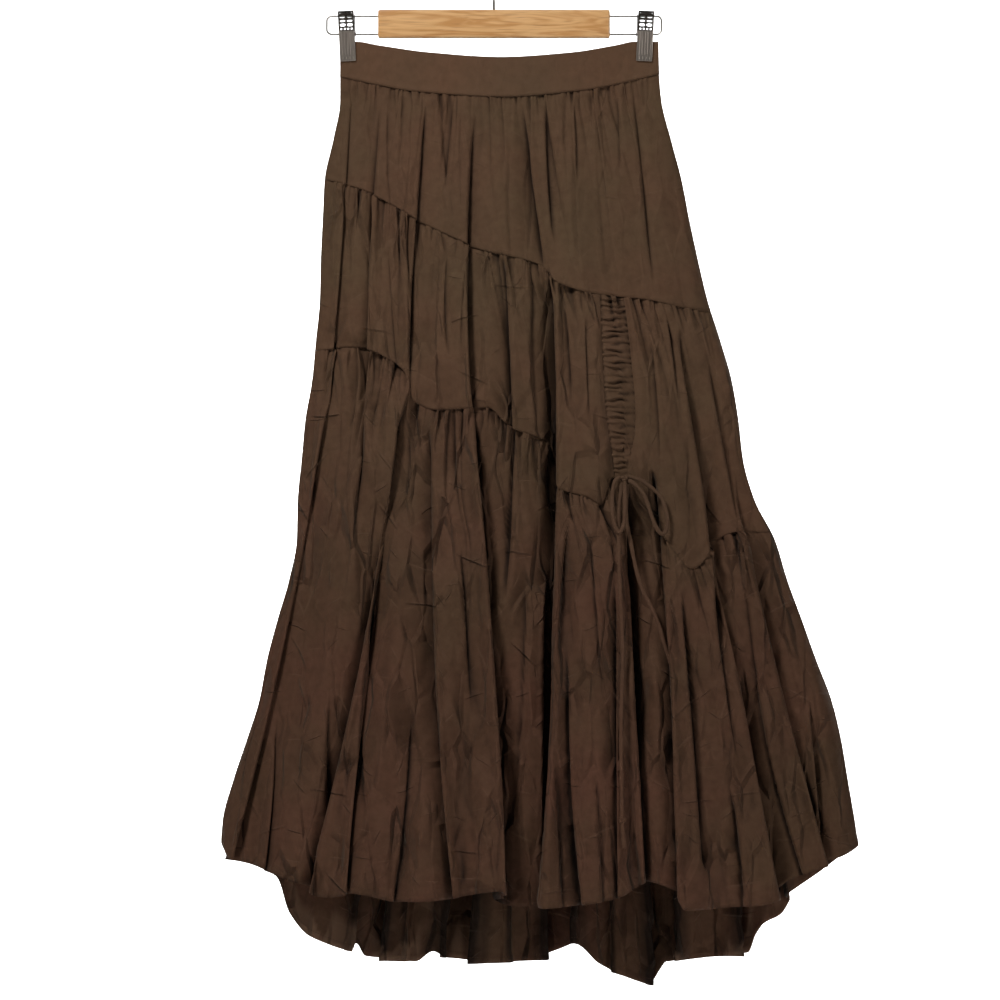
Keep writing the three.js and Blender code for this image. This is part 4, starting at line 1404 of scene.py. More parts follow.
    def build(self, finish: Material) -> Object:
        """Makes the piece as a thin closed shell.

        Args:
            finish: Its material.

        Returns:
            Its object.
        """
        self.lay()
        rows, columns = self.rows, self.columns
        wide = columns + 1
        half = self.thickness()[..., None] / 2
        outer = (self.points + self.normals * half).reshape(-1, 3)
        inner = (self.points - self.normals * half).reshape(-1, 3)
        vertices = np.vstack([outer, inner]) * MILLIMETRE
        count = len(outer)
        i, j = np.meshgrid(np.arange(rows), np.arange(columns), indexing="ij")
        a = (i * wide + j).ravel()
        front = np.column_stack([a, a + wide, a + wide + 1, a + 1])
        back = np.column_stack([a, a + 1, a + wide + 1, a + wide]) + count
        j = np.arange(columns)
        upper = np.column_stack([j, j + 1, count + j + 1, count + j])
        low = rows * wide + j
        lower = np.column_stack([low, count + low, count + low + 1, low + 1])
        b = np.arange(rows) * wide
        one = np.column_stack([b, count + b, count + b + wide, b + wide])
        b = b + columns
        other = np.column_stack([b, b + wide, count + b + wide, count + b])
        quads = np.vstack([front, back, upper, lower, one, other])
        if self.face.side is Side.BACK:
            quads = quads[:, ::-1]
        place = self.place.reshape(-1, 2)
        masks = {key: np.concatenate([values.ravel(), values.ravel()]) for key, values in self.masks.items()}
        piece = make_object(self.name, vertices, quads, finish, np.vstack([place, place]), masks)
        dress(piece, Slot.LAWN, *self.nodes)
        return piece

    def declare(self, piece: Object, extras: list[Object] = ()) -> None:
        """Takes the piece and what is sewn on it, and does nothing with them."""

    def line(self, away: float, from_bottom: bool = True, inside: bool = False) -> ndarray:
        """A line along the piece at a distance from one of its edges, on one of its faces.

        Args:
            away: The distance from the edge, in millimetres.
            from_bottom: Whether it is measured from the lower edge.
            inside: Whether it lies on the inner face.

        Returns:
            Its points, in metres.
        """
        grid = self.points[::-1] if from_bottom else self.points
        normals = self.normals[::-1] if from_bottom else self.normals
        run = np.linalg.norm(np.diff(grid, axis=0), axis=2)
        gone = np.concatenate([np.zeros_like(run[:1]), np.cumsum(run, axis=0)])
        line = []
        for j in range(grid.shape[1]):
            i = int(np.clip(np.searchsorted(gone[:, j], away), 1, grid.shape[0] - 1))
            t = (away - gone[i - 1, j]) / max(1e-6, gone[i, j] - gone[i - 1, j])
            spot = grid[i - 1, j] * (1 - t) + grid[i, j] * t
            way = normals[i, j] * (-1 if inside else 1)
            thick = self.wall / 2 + (0.35 if self.hem else 0.0)
            line.append(spot + way * (thick + 0.02))
        return np.array(line) * MILLIMETRE


class RuchedChannel(ClothPiece):
    """The drawstring channel: a narrow strip drawn up into fine uneven ruches."""

    ruches = 31

    def own_relief(self, x: ndarray, drop: ndarray, down: ndarray, left: ndarray) -> ndarray:
        """Ruches across the strip, which part and meet again along it."""
        share = (drop - 350.0) / 200.0
        span = (x - self.shares[0](drop)) / (self.shares[1](drop) - self.shares[0](drop))
        wander = (0.4 * np.sin(2 * math.pi * (span * 0.7 + share * 3.1)) + 0.6 * np.sin(2 * math.pi * share * 7.3 + 1.4)
                  + 0.5 * np.sin(2 * math.pi * (span * 1.4 - share * 9.2)) + 0.3 * np.sin(2 * math.pi * share * 17.0))
        wave = np.cos(2 * math.pi * self.ruches * share + 1.5 * wander)
        uneven = 0.62 + 0.38 * np.sin(2 * math.pi * (share * 11.7 + span * 0.8))
        edge = np.clip(np.sin(math.pi * np.clip(span, 0, 1)), 0, 1) ** 0.6
        ends = smoothstep(down, 0, 6) * smoothstep(left, 0, 6)
        seams = -1.1 * (np.exp(-((span - 0.07) / 0.05) ** 2) + np.exp(-((span - 0.93) / 0.05) ** 2))
        return ends * (seams + edge * (0.7 + 2.5 * uneven * np.sign(wave) * np.abs(wave) ** 0.6))


# Stitches


def stitch_tree(finish: Material) -> NodeTree:
    """A geometry tree that sets short threads along a line.

    Args:
        finish: The thread's material.

    Returns:
        The tree, with inputs Pitch, Length and Thickness.
    """
    group = bpy.data.node_groups.new("row_of_stitches", "GeometryNodeTree")
    tree = Tree(group)
    group.interface.new_socket("Line", in_out="INPUT", socket_type="NodeSocketGeometry")
    for key, value in (("Pitch", 0.003), ("Length", 0.0022), ("Thickness", 0.0004)):
        group.interface.new_socket(key, in_out="INPUT", socket_type="NodeSocketFloat").default_value = value
    group.interface.new_socket("Stitches", in_out="OUTPUT", socket_type="NodeSocketGeometry")
    start, end = tree.add("NodeGroupInput"), tree.add("NodeGroupOutput")
    line = tree.add("GeometryNodeMeshToCurve")
    tree.join(start.outputs["Line"], line.inputs[0])
    spaced = tree.add("GeometryNodeResampleCurve", mode="LENGTH")
    tree.join(line.outputs[0], spaced.inputs["Curve"])
    tree.join(start.outputs["Pitch"], spaced.inputs["Length"])
    way = tree.add("GeometryNodeInputTangent")
    turned = tree.add("FunctionNodeAlignEulerToVector", axis="Z")
    tree.join(way.outputs[0], turned.inputs["Vector"])
    thread = tree.add("GeometryNodeMeshUVSphere")
    thread.inputs["Segments"].default_value = 5
    thread.inputs["Rings"].default_value = 3
    thread.inputs["Radius"].default_value = 0.5
    size = tree.add("ShaderNodeCombineXYZ")
    tree.join(start.outputs["Thickness"], size.inputs[0])
    tree.join(start.outputs["Thickness"], size.inputs[1])
    tree.join(start.outputs["Length"], size.inputs[2])
    placed = tree.add("GeometryNodeInstanceOnPoints")
    tree.join(spaced.outputs[0], placed.inputs["Points"])
    tree.join(thread.outputs["Mesh"], placed.inputs["Instance"])
    tree.join(turned.outputs[0], placed.inputs["Rotation"])
    tree.join(size.outputs[0], placed.inputs["Scale"])
    real = tree.add("GeometryNodeRealizeInstances")
    tree.join(placed.outputs[0], real.inputs[0])
    dressed = tree.add("GeometryNodeSetMaterial")
    dressed.inputs["Material"].default_value = finish
    tree.join(real.outputs[0], dressed.inputs["Geometry"])
    tree.join(dressed.outputs[0], end.inputs[0])
    return group


@dataclass
class Stitching:
    """Rows of stitches along lines on the cloth.

    Attributes:
        finish: The thread's material.
        pitch: How far apart the stitches are, in metres.
        length: How long each shows, in metres.
        thickness: The thread's thickness, in metres.
    """

    finish: Material
    pitch: float = 0.0030
    length: float = 0.0023
    thickness: float = 0.00042
    tree: NodeTree = None

    def sew(self, name: str, lines: list[ndarray], slot: Slot = Slot.LAWN) -> Object:
        """Sets stitches along lines and makes them one plain mesh.

        Args:
            name: The object's name.
            lines: The lines' points, in metres.
            slot: The record's slot of the thread.

        Returns:
            Its object.
        """
        if self.tree is None:
            self.tree = stitch_tree(self.finish)
        vertices = np.vstack(lines)
        edges, first = [], 0
        for line in lines:
            edges += [(first + k, first + k + 1) for k in range(len(line) - 1)]
            first += len(line)
        mesh = bpy.data.meshes.new(name + "_line")
        mesh.from_pydata(vertices.tolist(), edges, [])
        guide = place_object(name + "_line", mesh)
        modifier = guide.modifiers.new("stitches", "NODES")
        modifier.node_group = self.tree
        values = {"Pitch": self.pitch, "Length": self.length, "Thickness": self.thickness}
        for item in self.tree.interface.items_tree:
            if item.in_out == "INPUT" and item.name in values:
                modifier[item.identifier] = values[item.name]
        made = finished_mesh(guide)
        made.name = name
        made.shade_smooth()
        return dress(place_object(name, made), slot)


# The tie

# x, y, drop along each part of the tie
TAIL_LEFT = (
    (131.6, -60.2, 553.8), (130.6, -63.6, 563), (128.8, -67.8, 577), (127.8, -71.2, 605), (128, -73.4, 629),
    (129.4, -75.4, 668), (131, -77.8, 701), (131.8, -81.4, 726), (131, -87.2, 761), (130, -91.8, 790),
    (129.8, -94.8, 815), (130, -97.6, 845), (130.4, -100.6, 875), (130.6, -102.8, 892.6), (131, -104.4, 902.4),
    (131.8, -105.6, 914), (133, -106.6, 925),
)
TAIL_RIGHT = (
    (136.8, -60.4, 553.8), (136.2, -63.6, 566), (135.6, -65, 589), (140, -66, 613), (146, -69, 643),
    (153, -72.2, 665), (161, -72.4, 681), (169, -71.6, 700), (174.6, -72, 719), (181, -74, 738),
    (187, -76.8, 756), (188.6, -78.4, 766),
)
LOOP_LEFT = (
    (128.2, -63, 548.6), (124.4, -64.6, 552), (121.8, -67.4, 562), (121.2, -72.4, 580), (123.4, -75.4, 596),
    (128.2, -76.8, 604.4), (132.8, -76.4, 597), (134.2, -73.8, 582), (134.4, -70, 566), (134.3, -66.8, 553.6),
)
LOOP_RIGHT = (
    (138.9, -61.4, 547.6), (145, -61.2, 549.4), (152, -60, 552), (158, -58.6, 556), (165, -57.8, 561.5),
    (172, -58, 569), (176, -58.6, 580), (178.4, -59, 592), (177, -60, 602.6), (172.6, -62, 606.6),
    (167.4, -63, 601), (163, -63.4, 591), (158.6, -63.2, 578), (154.6, -63.8, 567.4), (149, -65.2, 559.6),
    (143.6, -66, 554.6), (138.9, -66, 551.8),
)


def knot_path(centre: Point, size: Point, turn: float) -> ndarray:
    """The line of an overhand knot drawn tight.

    Args:
        centre: The knot's centre as x, y and drop, in millimetres.
        size: How far the line reaches from it along x, y and z.
        turn: The knot's turn about Y.

    Returns:
        The line's points, in metres.
    """
    t = np.linspace(0.35, 2 * math.pi + 0.1, 46)
    x = (np.sin(t) + 2 * np.sin(2 * t)) / 3
    z = (np.cos(t) - 2 * np.cos(2 * t)) / 3
    y = -np.sin(3 * t)
    turned = (x * math.cos(turn) - z * math.sin(turn), x * math.sin(turn) + z * math.cos(turn))
    points = np.column_stack([centre[0] + size[0] * turned[0], centre[1] + size[1] * y,
                              -centre[2] + size[2] * turned[1]])
    return points * MILLIMETRE


@dataclass
class Tie:
    """The tie cord: a narrow sewn tube in a bow at the channel's lower end.

    Attributes:
        finish: Its material.
        wide: The cord's width, in metres.
        deep: Its thickness, in metres.
        bow_knot: Where the bow's knot is, as x, y and drop in millimetres.
        end_knot: Where the long tail's knot is.
    """

    finish: Material
    wide: float = 0.0042
    deep: float = 0.0032
    bow_knot: Point = (134, -62.8, 549.5)
    end_knot: Point = (130.7, -103.8, 897.5)

    def strand(self, name: str, route: tuple, seed: float) -> tuple[Object, ndarray]:
        """One part of the tie as a soft flattened tube.

        Args:
            name: The object's name.
            route: Its table of x, y and drop.
            seed: The start of its uneven width and twist.

        Returns:
            The object and its line.
        """
        path = smooth_path([(x, y, -drop) for x, y, drop in route], 1.6)
        run = np.linspace(0, path_length(path), len(path)) / MILLIMETRE
        wide = self.wide * (1 + 0.07 * np.sin(run / 5.3 + seed) + 0.05 * np.sin(run / 2.1 + 2 * seed))
        deep = self.deep * (1 - 0.09 * np.sin(run / 5.3 + seed) + 0.05 * np.sin(run / 1.7 + seed))
        turn = 0.5 * np.sin(run / 27 + seed)
        points, faces, place = sweep(path, wide, deep, 14, turn=turn)
        return make_object(name, points, faces, self.finish, place), path

    def knot(self, name: str, centre: Point, size: Point,
             turn: float, node: str) -> Object:
        """A knot of the same tube, drawn tight.

        Args:
            name: The object's name.
            centre: Its centre.
            size: How far its line reaches.
            turn: Its turn about Y.
            node: The solid that it replaces.

        Returns:
            Its object.
        """
        path = knot_path(centre, size, turn)
        points, faces, place = sweep(path, self.wide * 0.86, self.deep * 1.02, 14)
        return dress(make_object(name, points, faces, self.finish, place), Slot.TIE, node)

    def build(self) -> None:
        """Makes the tie's tails, loops and knots."""
        bow = self.knot("tie_knot", self.bow_knot, (2.9, 2.0, 2.3), 0.4, "tie_bow_knot")
        small = self.knot("tie_tail_knot", self.end_knot, (2.4, 1.6, 2.6), -0.3, "tie_end_knot")
        parts = (
            ("tie_long_tail", TAIL_LEFT, 0.3, "knot", ("tie_tail_left", "tie_tail_end"), [small]),
            ("tie_short_tail", TAIL_RIGHT, 1.9, "bare", ("tie_tail_right",), []),
            ("tie_left_loop", LOOP_LEFT, 3.1, "object", ("tie_loop_left",), [bow]),
            ("tie_right_loop", LOOP_RIGHT, 4.6, "object", ("tie_loop_right",), []),
        )
        for name, route, seed, end, nodes, extras in parts:
            piece, path = self.strand(name, route, seed)
            dress(piece, Slot.TIE, *nodes)
            path_length(path)


# The hanger and its clips


def rounded_loop(half_wide: float, half_tall: float, corner: float, steps: int = 6) -> ndarray:
    """A rectangle with rounded corners, anticlockwise.

    Args:
        half_wide: Half its width.
        half_tall: Half its height.
        corner: Its corners' radius.
        steps: How many steps round each corner.

    Returns:
        Its points.
    """
    points = []
    for k, (sx, sy) in enumerate(((1, 1), (-1, 1), (-1, -1), (1, -1))):
        for step in range(steps + 1):
            angle = math.pi / 2 * (k + step / steps)
            points.append((sx * (half_wide - corner) + corner * math.cos(angle),
                           sy * (half_tall - corner) + corner * math.sin(angle)))
    return np.array(points)


@dataclass
class Hanger:
    """The wooden bar, its wire hook and the flat wire loops at its ends. Sizes in millimetres."""

    wood: Material
    steel: Material
    width: float = 241.2
    height: float = 29.6
    thickness: float = 11.0
    top: float = 62.0
    hook_wire: float = 3.2
    loop_wire: float = 2.1
    upper: float = 68.6
    lower: float = 87.4
    ends: tuple[float, float] = (-173.8, 174.2)
    crook: float = 20.0

    def build(self) -> None:
        """Makes the bar, the hook and the loops."""
        self.bar()
        self.hook()
        for word, end in zip(("left", "right"), self.ends):
            self.loop(word, end)

    def bar(self) -> Object:
        """The bar, with softly rounded edges and ends.

        Returns:
            Its object.
        """
        fillet = 2.2
        centre = -(self.top + self.height / 2)
        straight = np.linspace(-self.width / 2 + fillet, self.width / 2 - fillet, 13)[1:-1]
        rings = []
        stations = [(-self.width / 2 + fillet * (1 - math.cos(a)), fillet * (1 - math.sin(a)))
                    for a in np.linspace(0, math.pi / 2, 6)]
        stations += [(x, 0.0) for x in straight]
        stations += [(-x, inset) for x, inset in stations[5::-1]]
        for x, inset in stations:
            loop = rounded_loop(self.thickness / 2 - inset, self.height / 2 - inset, 2.6 - 0.6 * inset, 5)
            rings.append(np.column_stack([np.full(len(loop), x), loop[:, 0], centre + loop[:, 1]]))
        sides = len(rings[0])
        faces = tube_faces(len(rings), sides)
        faces = [row[::-1] for row in faces] if self.turned_in(rings, sides) else faces
        piece = make_object("bar_of_wood", np.vstack(rings) * MILLIMETRE, faces, self.wood)
        return dress(piece, Slot.WOOD, "hanger_bar")

    @staticmethod
    def turned_in(rings: list[ndarray], sides: int) -> bool:
        """Whether faces joined ring to ring would point inwards."""
        a, b, c = rings[5][0], rings[5][1], rings[6][0]
        middle = rings[5].mean(axis=0)
        return float(np.dot(np.cross(b - a, c - a), a - middle)) < 0

    def wire(self, name: str, route: list[Point], thickness: float, node: str,
             step: float = 1.2) -> Object:
        """A round wire along a route.

        Args:
            name: The object's name.
            route: Points as x, y and z, in millimetres.
            thickness: The wire's thickness, in millimetres.
            node: The solid that it replaces.
            step: How far apart its sections are.

        Returns:
            Its object.
        """
        path = smooth_path(route, step)
        size = thickness * MILLIMETRE
        points, faces, place = sweep(path, size, size, 14, face=(0.0, 1.0, 0.0))
        return dress(make_object(name, points, faces, self.steel, place), Slot.STEEL, node)

    def hook(self) -> Object:
        """The hook: a shank out of the bar, an S bend and a round crook over the rail.

        Returns:
            Its object.
        """
        middle = self.hook_wire / 2 - self.crook
        route = [(0, 0, -self.top - 3), (0, 0, -57), (0, 0, -52), (3, 0, -44)]
        for degrees in range(-50, 201, 25):
            angle = math.radians(degrees)
            route.append((self.crook * math.cos(angle), 0, middle + self.crook * math.sin(angle)))
        return self.wire("hook_of_wire", route, self.hook_wire, "hanger_hook")

    def loop(self, word: str, end: float) -> Object:
        """A flat loop of wire out of one end of the bar.

        Args:
            word: Which end.
            end: How far out it reaches.

        Returns:
            Its object.
        """
        sense = 1 if end > 0 else -1
        start = sense * (self.width / 2 - 3)
        corner = 5.0
        straight = (start, start + sense * 20, end - sense * 12)
        route = [(x, 0, -self.upper) for x in straight]
        for height, way, turns in ((self.upper, -1, (90, 60, 30, 0)), (self.lower, 1, (0, 30, 60, 90))):
            for angle in map(math.radians, turns):
                route.append((end - sense * corner * (1 - math.cos(angle)), 0,
                              -height + way * corner * (1 - math.sin(angle))))
        route += [(x, 0, -self.lower) for x in straight[::-1]]
        return self.wire(f"loop_of_wire_{word}", route, self.loop_wire, f"wire_loop_{word}", 1.0)


@dataclass
class Clip:
    """A metal clip: two sprung jaws with rows of openings over a ribbed grip. Sizes in millimetres."""

    word: str
    x: float
    tilt: float
    steel: Material
    dark: Material
    width: float = 16.6
    height: float = 52.4
    top: float = 63.0
    plate: float = 1.0
    inside: float = 2.65

    def upright(self, points: ndarray, sign: int) -> ndarray:
        """Turns the plate's own x, height and way out to its place on the hanger.

        Args:
            points: Columns of x, height above the plate's centre, and distance out.
            sign: -1 for the front jaw, 1 for the back one.

        Returns:
            The points, in metres.
        """
        c, s = math.cos(self.tilt), math.sin(self.tilt)
        x = self.x + points[:, 0] * c + points[:, 1] * s
        z = -(self.top + self.height / 2) - points[:, 0] * s + points[:, 1] * c
        return np.column_stack([x, sign * (self.inside + points[:, 2]), z]) * MILLIMETRE

    def openings(self) -> list[ndarray]:
        """The outlines of the plate's openings."""
        holes = []
        for row in range(4):
            tall = 1.75 if row == 3 else 1.2
            for x in (-3.7, 3.7):
                holes.append((x, self.height / 2 - 2.2 - 4.1 * row, 2.9, tall, 1.0 if row < 3 else 0.62))
        for place in range(4):
            holes.append((-5.4 + 3.6 * place, self.height / 2 - 18.6, 1.0, 1.25, 0.8))
        loops = []
        for x, z, wide, tall, square in holes:
            t = 2 * math.pi * np.arange(20) / 20
            power = 0.55 * square + 0.3
            loops.append(np.column_stack([x + wide * np.sign(np.cos(t)) * np.abs(np.cos(t)) ** power,
                                          z + tall * np.sign(np.sin(t)) * np.abs(np.sin(t)) ** power]))
        return loops

    def jaw(self, facing: str, sign: int) -> Object:
        """One jaw's plate with its openings.

        Args:
            facing: The jaw's word.
            sign: -1 for the front, 1 for the back.

        Returns:
            Its object.
        """
        curve = bpy.data.curves.new("jaw_outline", "CURVE")
        curve.dimensions = "2D"
        curve.fill_mode = "BOTH"
        curve.extrude = self.plate / 2 - 0.18
        curve.bevel_depth = 0.18
        curve.bevel_resolution = 1
        curve.offset = -0.18
        for loop in [rounded_loop(self.width / 2, self.height / 2, 1.0, 5), *self.openings()]:
            spline = curve.splines.new("POLY")
            spline.points.add(len(loop) - 1)
            rows = np.column_stack([loop, np.zeros(len(loop)), np.ones(len(loop))])
            spline.points.foreach_set("co", rows.ravel())
            spline.use_cyclic_u = True
        mesh = finished_mesh(place_object("jaw_outline", curve))
        flat = np.empty(len(mesh.vertices) * 3)
        mesh.vertices.foreach_get("co", flat)
        flat = flat.reshape(-1, 3)
        grip = smoothstep(-flat[:, 1], -6.0, 26.0)
        out = flat[:, 2] + self.plate / 2 + 0.35 * np.cos(flat[:, 0] * math.pi / self.width) - 0.35 + 0.3 * (1 - grip)
        placed = self.upright(np.column_stack([flat[:, 0], flat[:, 1], out]), sign)
        mesh.vertices.foreach_set("co", placed.ravel())
        mesh.materials.clear()
        mesh.materials.append(self.steel)
        self.close(mesh)
        piece = place_object(f"clip_{self.word}_{facing}_plate", mesh)
        return dress(piece, Slot.STEEL, f"clip_{self.word}_{facing}_jaw")

    @staticmethod
    def close(mesh: Mesh) -> None:
        """Merges a mesh's doubles and turns its faces outwards."""
        work = bmesh.new()
        work.from_mesh(mesh)
        bmesh.ops.remove_doubles(work, verts=work.verts, dist=1e-6)
        bmesh.ops.recalc_face_normals(work, faces=work.faces)
        work.to_mesh(mesh)
        work.free()

    def ribs(self) -> Object:
        """The pressed ribs down the front grip and the marks of its teeth.

        Returns:
            Its object.
        """
        points, faces, count = [], [], 0
        strokes = [(x, 4.2, -19.5, 0.9) for x in (-5.6, -2.8, 0.0, 2.8, 5.6)]
        strokes += [(x, -22.0, -24.2, 1.3) for x in (-5.4, -1.9, 1.8, 5.4)]
        for x, high, low, wide in strokes:
            for sign in (-1, 1):
                line = np.column_stack([np.full(14, x), np.linspace(high, low, 14),
                                        self.plate + 0.35 * np.cos(x * math.pi / self.width) - 0.35
                                        + 0.3 * (1 - smoothstep(-np.linspace(high, low, 14), -6.0, 26.0))])
                swept, rows, _ = sweep(self.upright(line, sign), wide * MILLIMETRE, 0.5 * MILLIMETRE, 8)
                points.append(swept)
                faces += [[k + count for k in row] for row in rows]
                count += len(swept)
        piece = make_object(f"clip_{self.word}_ribs", np.vstack(points), faces, self.steel)
        return dress(piece, Slot.STEEL)

    def ear(self) -> Object:
        """The bent side ear that the jaws turn on.

        Returns:
            Its object.
        """
        inner = 1 if self.x < 0 else -1
        line = np.array([(inner * (self.width / 2 + 0.7), z, -self.inside) for z in np.linspace(20.0, 1.5, 18)])
        swept, rows, _ = sweep(self.upright(line, -1), 1.1 * MILLIMETRE, 6.4 * MILLIMETRE, 12)
        piece = make_object(f"clip_{self.word}_ear", swept, rows, self.dark)
        return dress(piece, Slot.STEEL)

    def build(self) -> None:
        """Makes the clip's jaws, ribs and ear, and finishes its saddle."""
        self.jaw("front", -1)
        self.jaw("back", 1)
        self.ribs()
        self.ear()
        saddle = bpy.data.objects[f"clip_{self.word}_saddle"]
        for holder in saddle.material_slots:
            holder.material = self.dark


# The studio


@dataclass
class Studio:
    """The camera at the photograph's angle, soft lights, a pale floor and a curved backdrop."""

    centre: tuple[float, float] = (0.00624, -0.5716)
    span: float = 1.04
    distance: float = 5.0
    sensor: float = 36.0
    floor: float = -1.9
    wall: float = 6.8

    def camera(self) -> Object:
        """The camera, level with the skirt's middle.

        Returns:
            The camera's object.
        """
        data = bpy.data.cameras.new("camera")
        data.sensor_width = self.sensor
        data.lens = self.sensor * self.distance / self.span
        data.clip_end = 40.0
        seat = bpy.data.objects.new("camera", data)
        seat.location = (self.centre[0], -self.distance, self.centre[1])
        seat.rotation_euler = (math.pi / 2, 0.0, 0.0)
        bpy.context.collection.objects.link(seat)
        bpy.context.scene.camera = seat
        return seat

    def lamp(self, name: str, spot: Point, size: float, power: float,
             tone: Point = (1.0, 1.0, 1.0)) -> None:
        """A soft square light that faces the skirt.

        Args:
            name: Its name.
            spot: Where it stands.
            size: Its side, in metres.
            power: Its power, in watts.
            tone: Its colour.
        """
        data = bpy.data.lights.new(name, "AREA")
        data.size = size
        data.energy = power
        data.color = tone
        seat = bpy.data.objects.new(name, data)
        seat.location = spot
        seat.rotation_euler = (Vector((0.0, 0.0, -0.55)) - Vector(spot)).to_track_quat("-Z", "Y").to_euler()
        bpy.context.collection.objects.link(seat)

    def wash(self, name: str, x: float) -> None:
        """A light beside the skirt that only washes the wall behind it.

        Args:
            name: Its name.
            x: Where it stands across.
        """
        data = bpy.data.lights.new(name, "AREA")
        data.size = 1.2
        data.energy = 240.0
        seat = bpy.data.objects.new(name, data)
        seat.location = (x, self.wall - 1.9, -0.5)
        seat.rotation_euler = Vector((-0.55 * x, 1.9, 0.0)).to_track_quat("-Z", "Y").to_euler()
        bpy.context.collection.objects.link(seat)

    def light(self) -> None:
        """Sets the lights and the even light of the room."""
        self.lamp("key_light", (-1.5, -2.3, 2.0), 0.7, 94.0)
        self.lamp("fill_light", (2.9, -3.3, -0.4), 1.6, 40.0)
        self.lamp("back_light", (2.2, 3.0, 1.3), 1.0, 70.0)
        self.wash("wall_light_left", -2.4)
        self.wash("wall_light_right", 2.4)
        world = bpy.data.worlds.new("room")
        world.use_nodes = True
        tree = Tree(world.node_tree)
        room = tree.add("ShaderNodeBackground")
        room.inputs["Color"].default_value = (1.0, 1.0, 1.0, 1.0)
        seen = tree.add("ShaderNodeLightPath").outputs["Is Camera Ray"]
        tree.join(tree.ramp(seen, 0.0, 1.0, 0.06, 0.85), room.inputs["Strength"])
        end = tree.add("ShaderNodeOutputWorld")
        tree.join(room.outputs[0], end.inputs[0])
        bpy.context.scene.world = world
        bpy.context.scene.view_settings.view_transform = "Standard"

    def backdrop(self, finish: Material) -> None:
        """The floor, which curves up into the wall behind.

        Args:
            finish: Its material.
        """
        bend = 0.6
        profile = [(-7.0, self.floor), (self.wall - bend, self.floor)]
        for angle in np.linspace(-math.pi / 2, 0, 13)[1:]:
            profile.append((self.wall - bend + bend * math.cos(angle), self.floor + bend + bend * math.sin(angle)))
        profile.append((self.wall, 3.0))
        points, faces = [], []
        for y, z in profile:
            points += [(-5.0, y, z), (5.0, y, z)]
        for k in range(len(profile) - 1):
            faces.append([2 * k, 2 * k + 1, 2 * k + 3, 2 * k + 2])
        make_object("floor_and_wall", np.array(points), faces, finish)


# The skirt


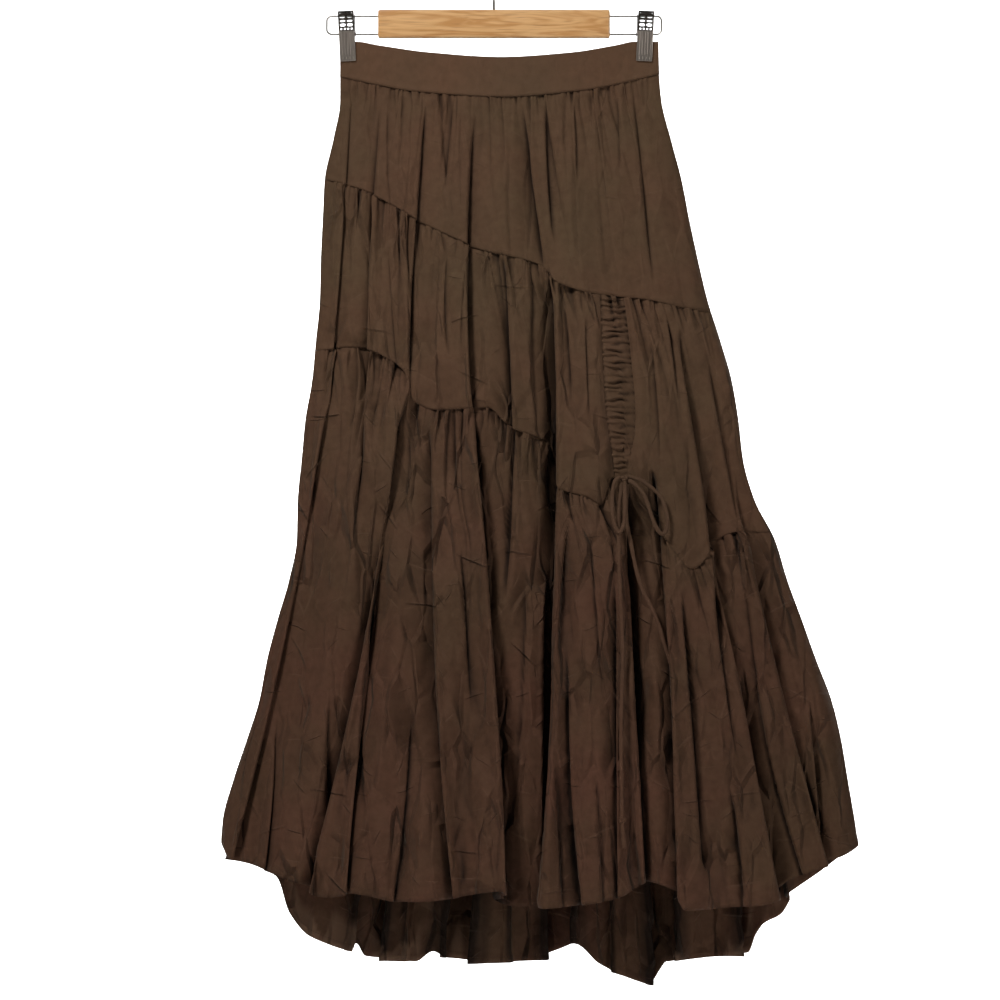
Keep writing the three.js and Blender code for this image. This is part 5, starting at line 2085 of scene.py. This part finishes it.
@dataclass
class Skirt:
    """The skirt's cloth: waistband, yoke, middle tier with its channel, and lower tier."""

    finishes: Finishes
    parts: dict[str, tuple[ClothPiece, Object]] = field(default_factory=dict)

    def pieces(self) -> list[tuple[ClothPiece, LawnFinish]]:
        """The cut pieces and their finishes, from the waist down."""
        band_top, band_seam = SECTION.edge(BAND_TOP), SECTION.edge(BAND_SEAM)
        yoke = {Side.FRONT: SECTION.edge(FRONT_YOKE_SEAM), Side.BACK: SECTION.edge(BACK_YOKE_SEAM)}
        middle = {Side.FRONT: SECTION.edge(FRONT_MIDDLE_SEAM), Side.BACK: SECTION.edge(BACK_MIDDLE_SEAM)}
        hem = {Side.FRONT: SECTION.edge(FRONT_HEM), Side.BACK: SECTION.edge(BACK_HEM)}
        strip_left = Curve([(row[0], row[1]) for row in CHANNEL])
        strip_right = Curve([(row[0], row[2]) for row in CHANNEL])
        under_left = Curve([(row[0], row[1] - 1.6) for row in CHANNEL])
        under_right = Curve([(row[0], row[2] + 1.6) for row in CHANNEL])
        # Each finish sets how strongly painted shade darkens its hollows and how strongly a painted highlight lightens
        # its crease crests.
        band = LawnFinish("lawn_band", colour(88, 67, 49), colour(95, 68, 50), colour(74, 56, 41), crease=0.12,
                          wear_and_highlight=0.0)
        upper = LawnFinish("lawn_upper", colour(85, 66, 47), colour(92, 65, 48), colour(64, 47, 35), crease=0.4,
                           painted_shade=0.8)
        lower = LawnFinish("lawn_lower", colour(85, 66, 47), colour(94, 66, 50), colour(61, 45, 33), crease=0.9,
                           crease_depth=0.055, wear_and_highlight=0.12, painted_shade=0.86)
        middling = LawnFinish("lawn_middle", colour(85, 66, 47), colour(92, 65, 48), colour(64, 47, 35), crease=0.7,
                              crease_depth=0.045, painted_shade=0.85)
        strip = LawnFinish("lawn_strip", colour(84, 65, 46), colour(89, 64, 48), colour(68, 51, 38), crease=0.15)
        band_facets = ((75.0, 17.0, 0.7), (30.0, 12.0, 0.3))
        yoke_facets = ((24.0, 240.0, 4.2), (19.0, 48.0, 1.0), (9.0, 20.0, 0.4))
        middle_facets = ((26.0, 150.0, 5.2), (20.0, 44.0, 2.4), (10.0, 19.0, 1.0))
        lower_facets = ((36.0, 260.0, 10.0), (24.0, 56.0, 5.2), (12.0, 24.0, 2.0))
        made = []
        for face in (FRONT, BACK):
            word = face.side.word
            made.append((ClothPiece(
                f"{word}_waistband", face, band_top, band_seam, (f"waistband_{word}",),
                Cut(0.36, 0.042, held="stretched"), columns=160, rows=18, wall=2.0, crumples=26, crumple_height=0.22,
                facets=band_facets, draw=face.draw, tucked=False), band))
            made.append((ClothPiece(
                f"{word}_yoke", face, band_seam, yoke[face.side], (f"yoke_{word}",),
                Cut(0.56, 0.22, 0.082), YOKE_GATHERS, 330, 68, crumples=110, crumple_height=0.4,
                facets=yoke_facets, draw=face.draw + 1), upper))
        made.append((ClothPiece(
            "back_middle_tier", BACK, yoke[Side.BACK], middle[Side.BACK], ("middle_tier_back",),
            Cut(0.64, 0.24, 0.122), MIDDLE_GATHERS, 330, 66, crumples=150, crumple_height=0.5,
            facets=middle_facets, draw=31), middling))
        made.append((ClothPiece(
            "front_middle_left", FRONT, yoke[Side.FRONT], middle[Side.FRONT], ("middle_tier_front_left",),
            Cut(0.42, 0.22, 0.078), MIDDLE_GATHERS, 280, 84, shares=(None, strip_left), crumples=110,
            crumple_height=0.5, facets=middle_facets, draw=41), middling))
        made.append((ClothPiece(
            "front_middle_right", FRONT, yoke[Side.FRONT], middle[Side.FRONT], ("middle_tier_front_right",),
            Cut(0.17, 0.24, 0.04), MIDDLE_GATHERS, 130, 96, shares=(strip_right, None), crumples=50,
            crumple_height=0.5, facets=middle_facets, draw=43), middling))
        made.append((RuchedChannel(
            "front_channel", FRONT, yoke[Side.FRONT], middle[Side.FRONT], ("drawstring_channel",),
            Cut(0.028, 0.27), MIDDLE_GATHERS, 22, 300, shares=(under_left, under_right), draw=45), strip))
        made.append((ClothPiece(
            "front_lower_tier", FRONT, middle[Side.FRONT], hem[Side.FRONT], ("lower_tier_front",),
            Cut(0.9, 0.58, 0.39), LOWER_GATHERS, 392, 124, hem=8.0, crumples=420, crumple_height=0.8,
            facets=lower_facets, draw=51), lower))
        made.append((ClothPiece(
            "back_lower_tier", BACK, middle[Side.BACK], hem[Side.BACK], ("lower_tier_back",),
            Cut(0.96, 0.66, 0.45), LOWER_GATHERS, 392, 124, hem=8.0, crumples=420, crumple_height=0.8,
            facets=lower_facets, draw=53), lower))
        return made

    def build(self) -> None:
        """Makes each piece and sews the lower tiers' hems."""
        for part, finish in self.pieces():
            self.parts[part.name] = (part, part.build(self.finishes.lawn(finish)))
        thread = self.finishes.lawn(LawnFinish("sewing_thread", colour(78, 60, 46), colour(84, 62, 46),
                                               colour(66, 52, 40), crease=0.0, weave_depth=0.0))
        sewing = Stitching(thread)
        extras: dict[str, list[Object]] = {}
        for name in ("front_lower_tier", "back_lower_tier"):
            part = self.parts[name][0]
            lines = [part.line(7.0), part.line(7.0, inside=True)]
            extras[name] = [sewing.sew(f"{name}_hem_stitches", lines)]
        for name, (part, piece) in self.parts.items():
            part.declare(piece, extras.get(name, []))


def main() -> None:
    """Builds the camera, the tie, the skirt, the hanger and the studio in order."""
    logging.basicConfig(level=logging.INFO, format="%(name)s: %(message)s")
    finishes = Finishes()
    studio = Studio()
    studio.camera()
    tie = finishes.lawn(LawnFinish("tie_lawn", colour(86, 66, 49), colour(92, 67, 50), colour(70, 53, 40),
                                   crease=0.3, crease_depth=0.0009, crease_size=3.0))
    Tie(tie).build()
    Skirt(finishes).build()
    wood = finishes.plain(WoodFinish())
    steel = finishes.plain(SteelFinish("plated_steel", aged_above=-0.0845))
    wire = finishes.plain(SteelFinish("wire_steel", colour(190, 185, 178), colour(142, 136, 128)))
    dark = finishes.plain(SteelFinish("dull_steel", colour(112, 105, 100), colour(76, 70, 66)))
    Hanger(wood, wire).build()
    Clip("left", -153.0, -0.048, steel, dark).build()
    Clip("right", 157.2, 0.048, steel, dark).build()
    studio.light()
    studio.backdrop(finishes.plain(PaleFinish()))


if __name__ == "__main__":
    main()
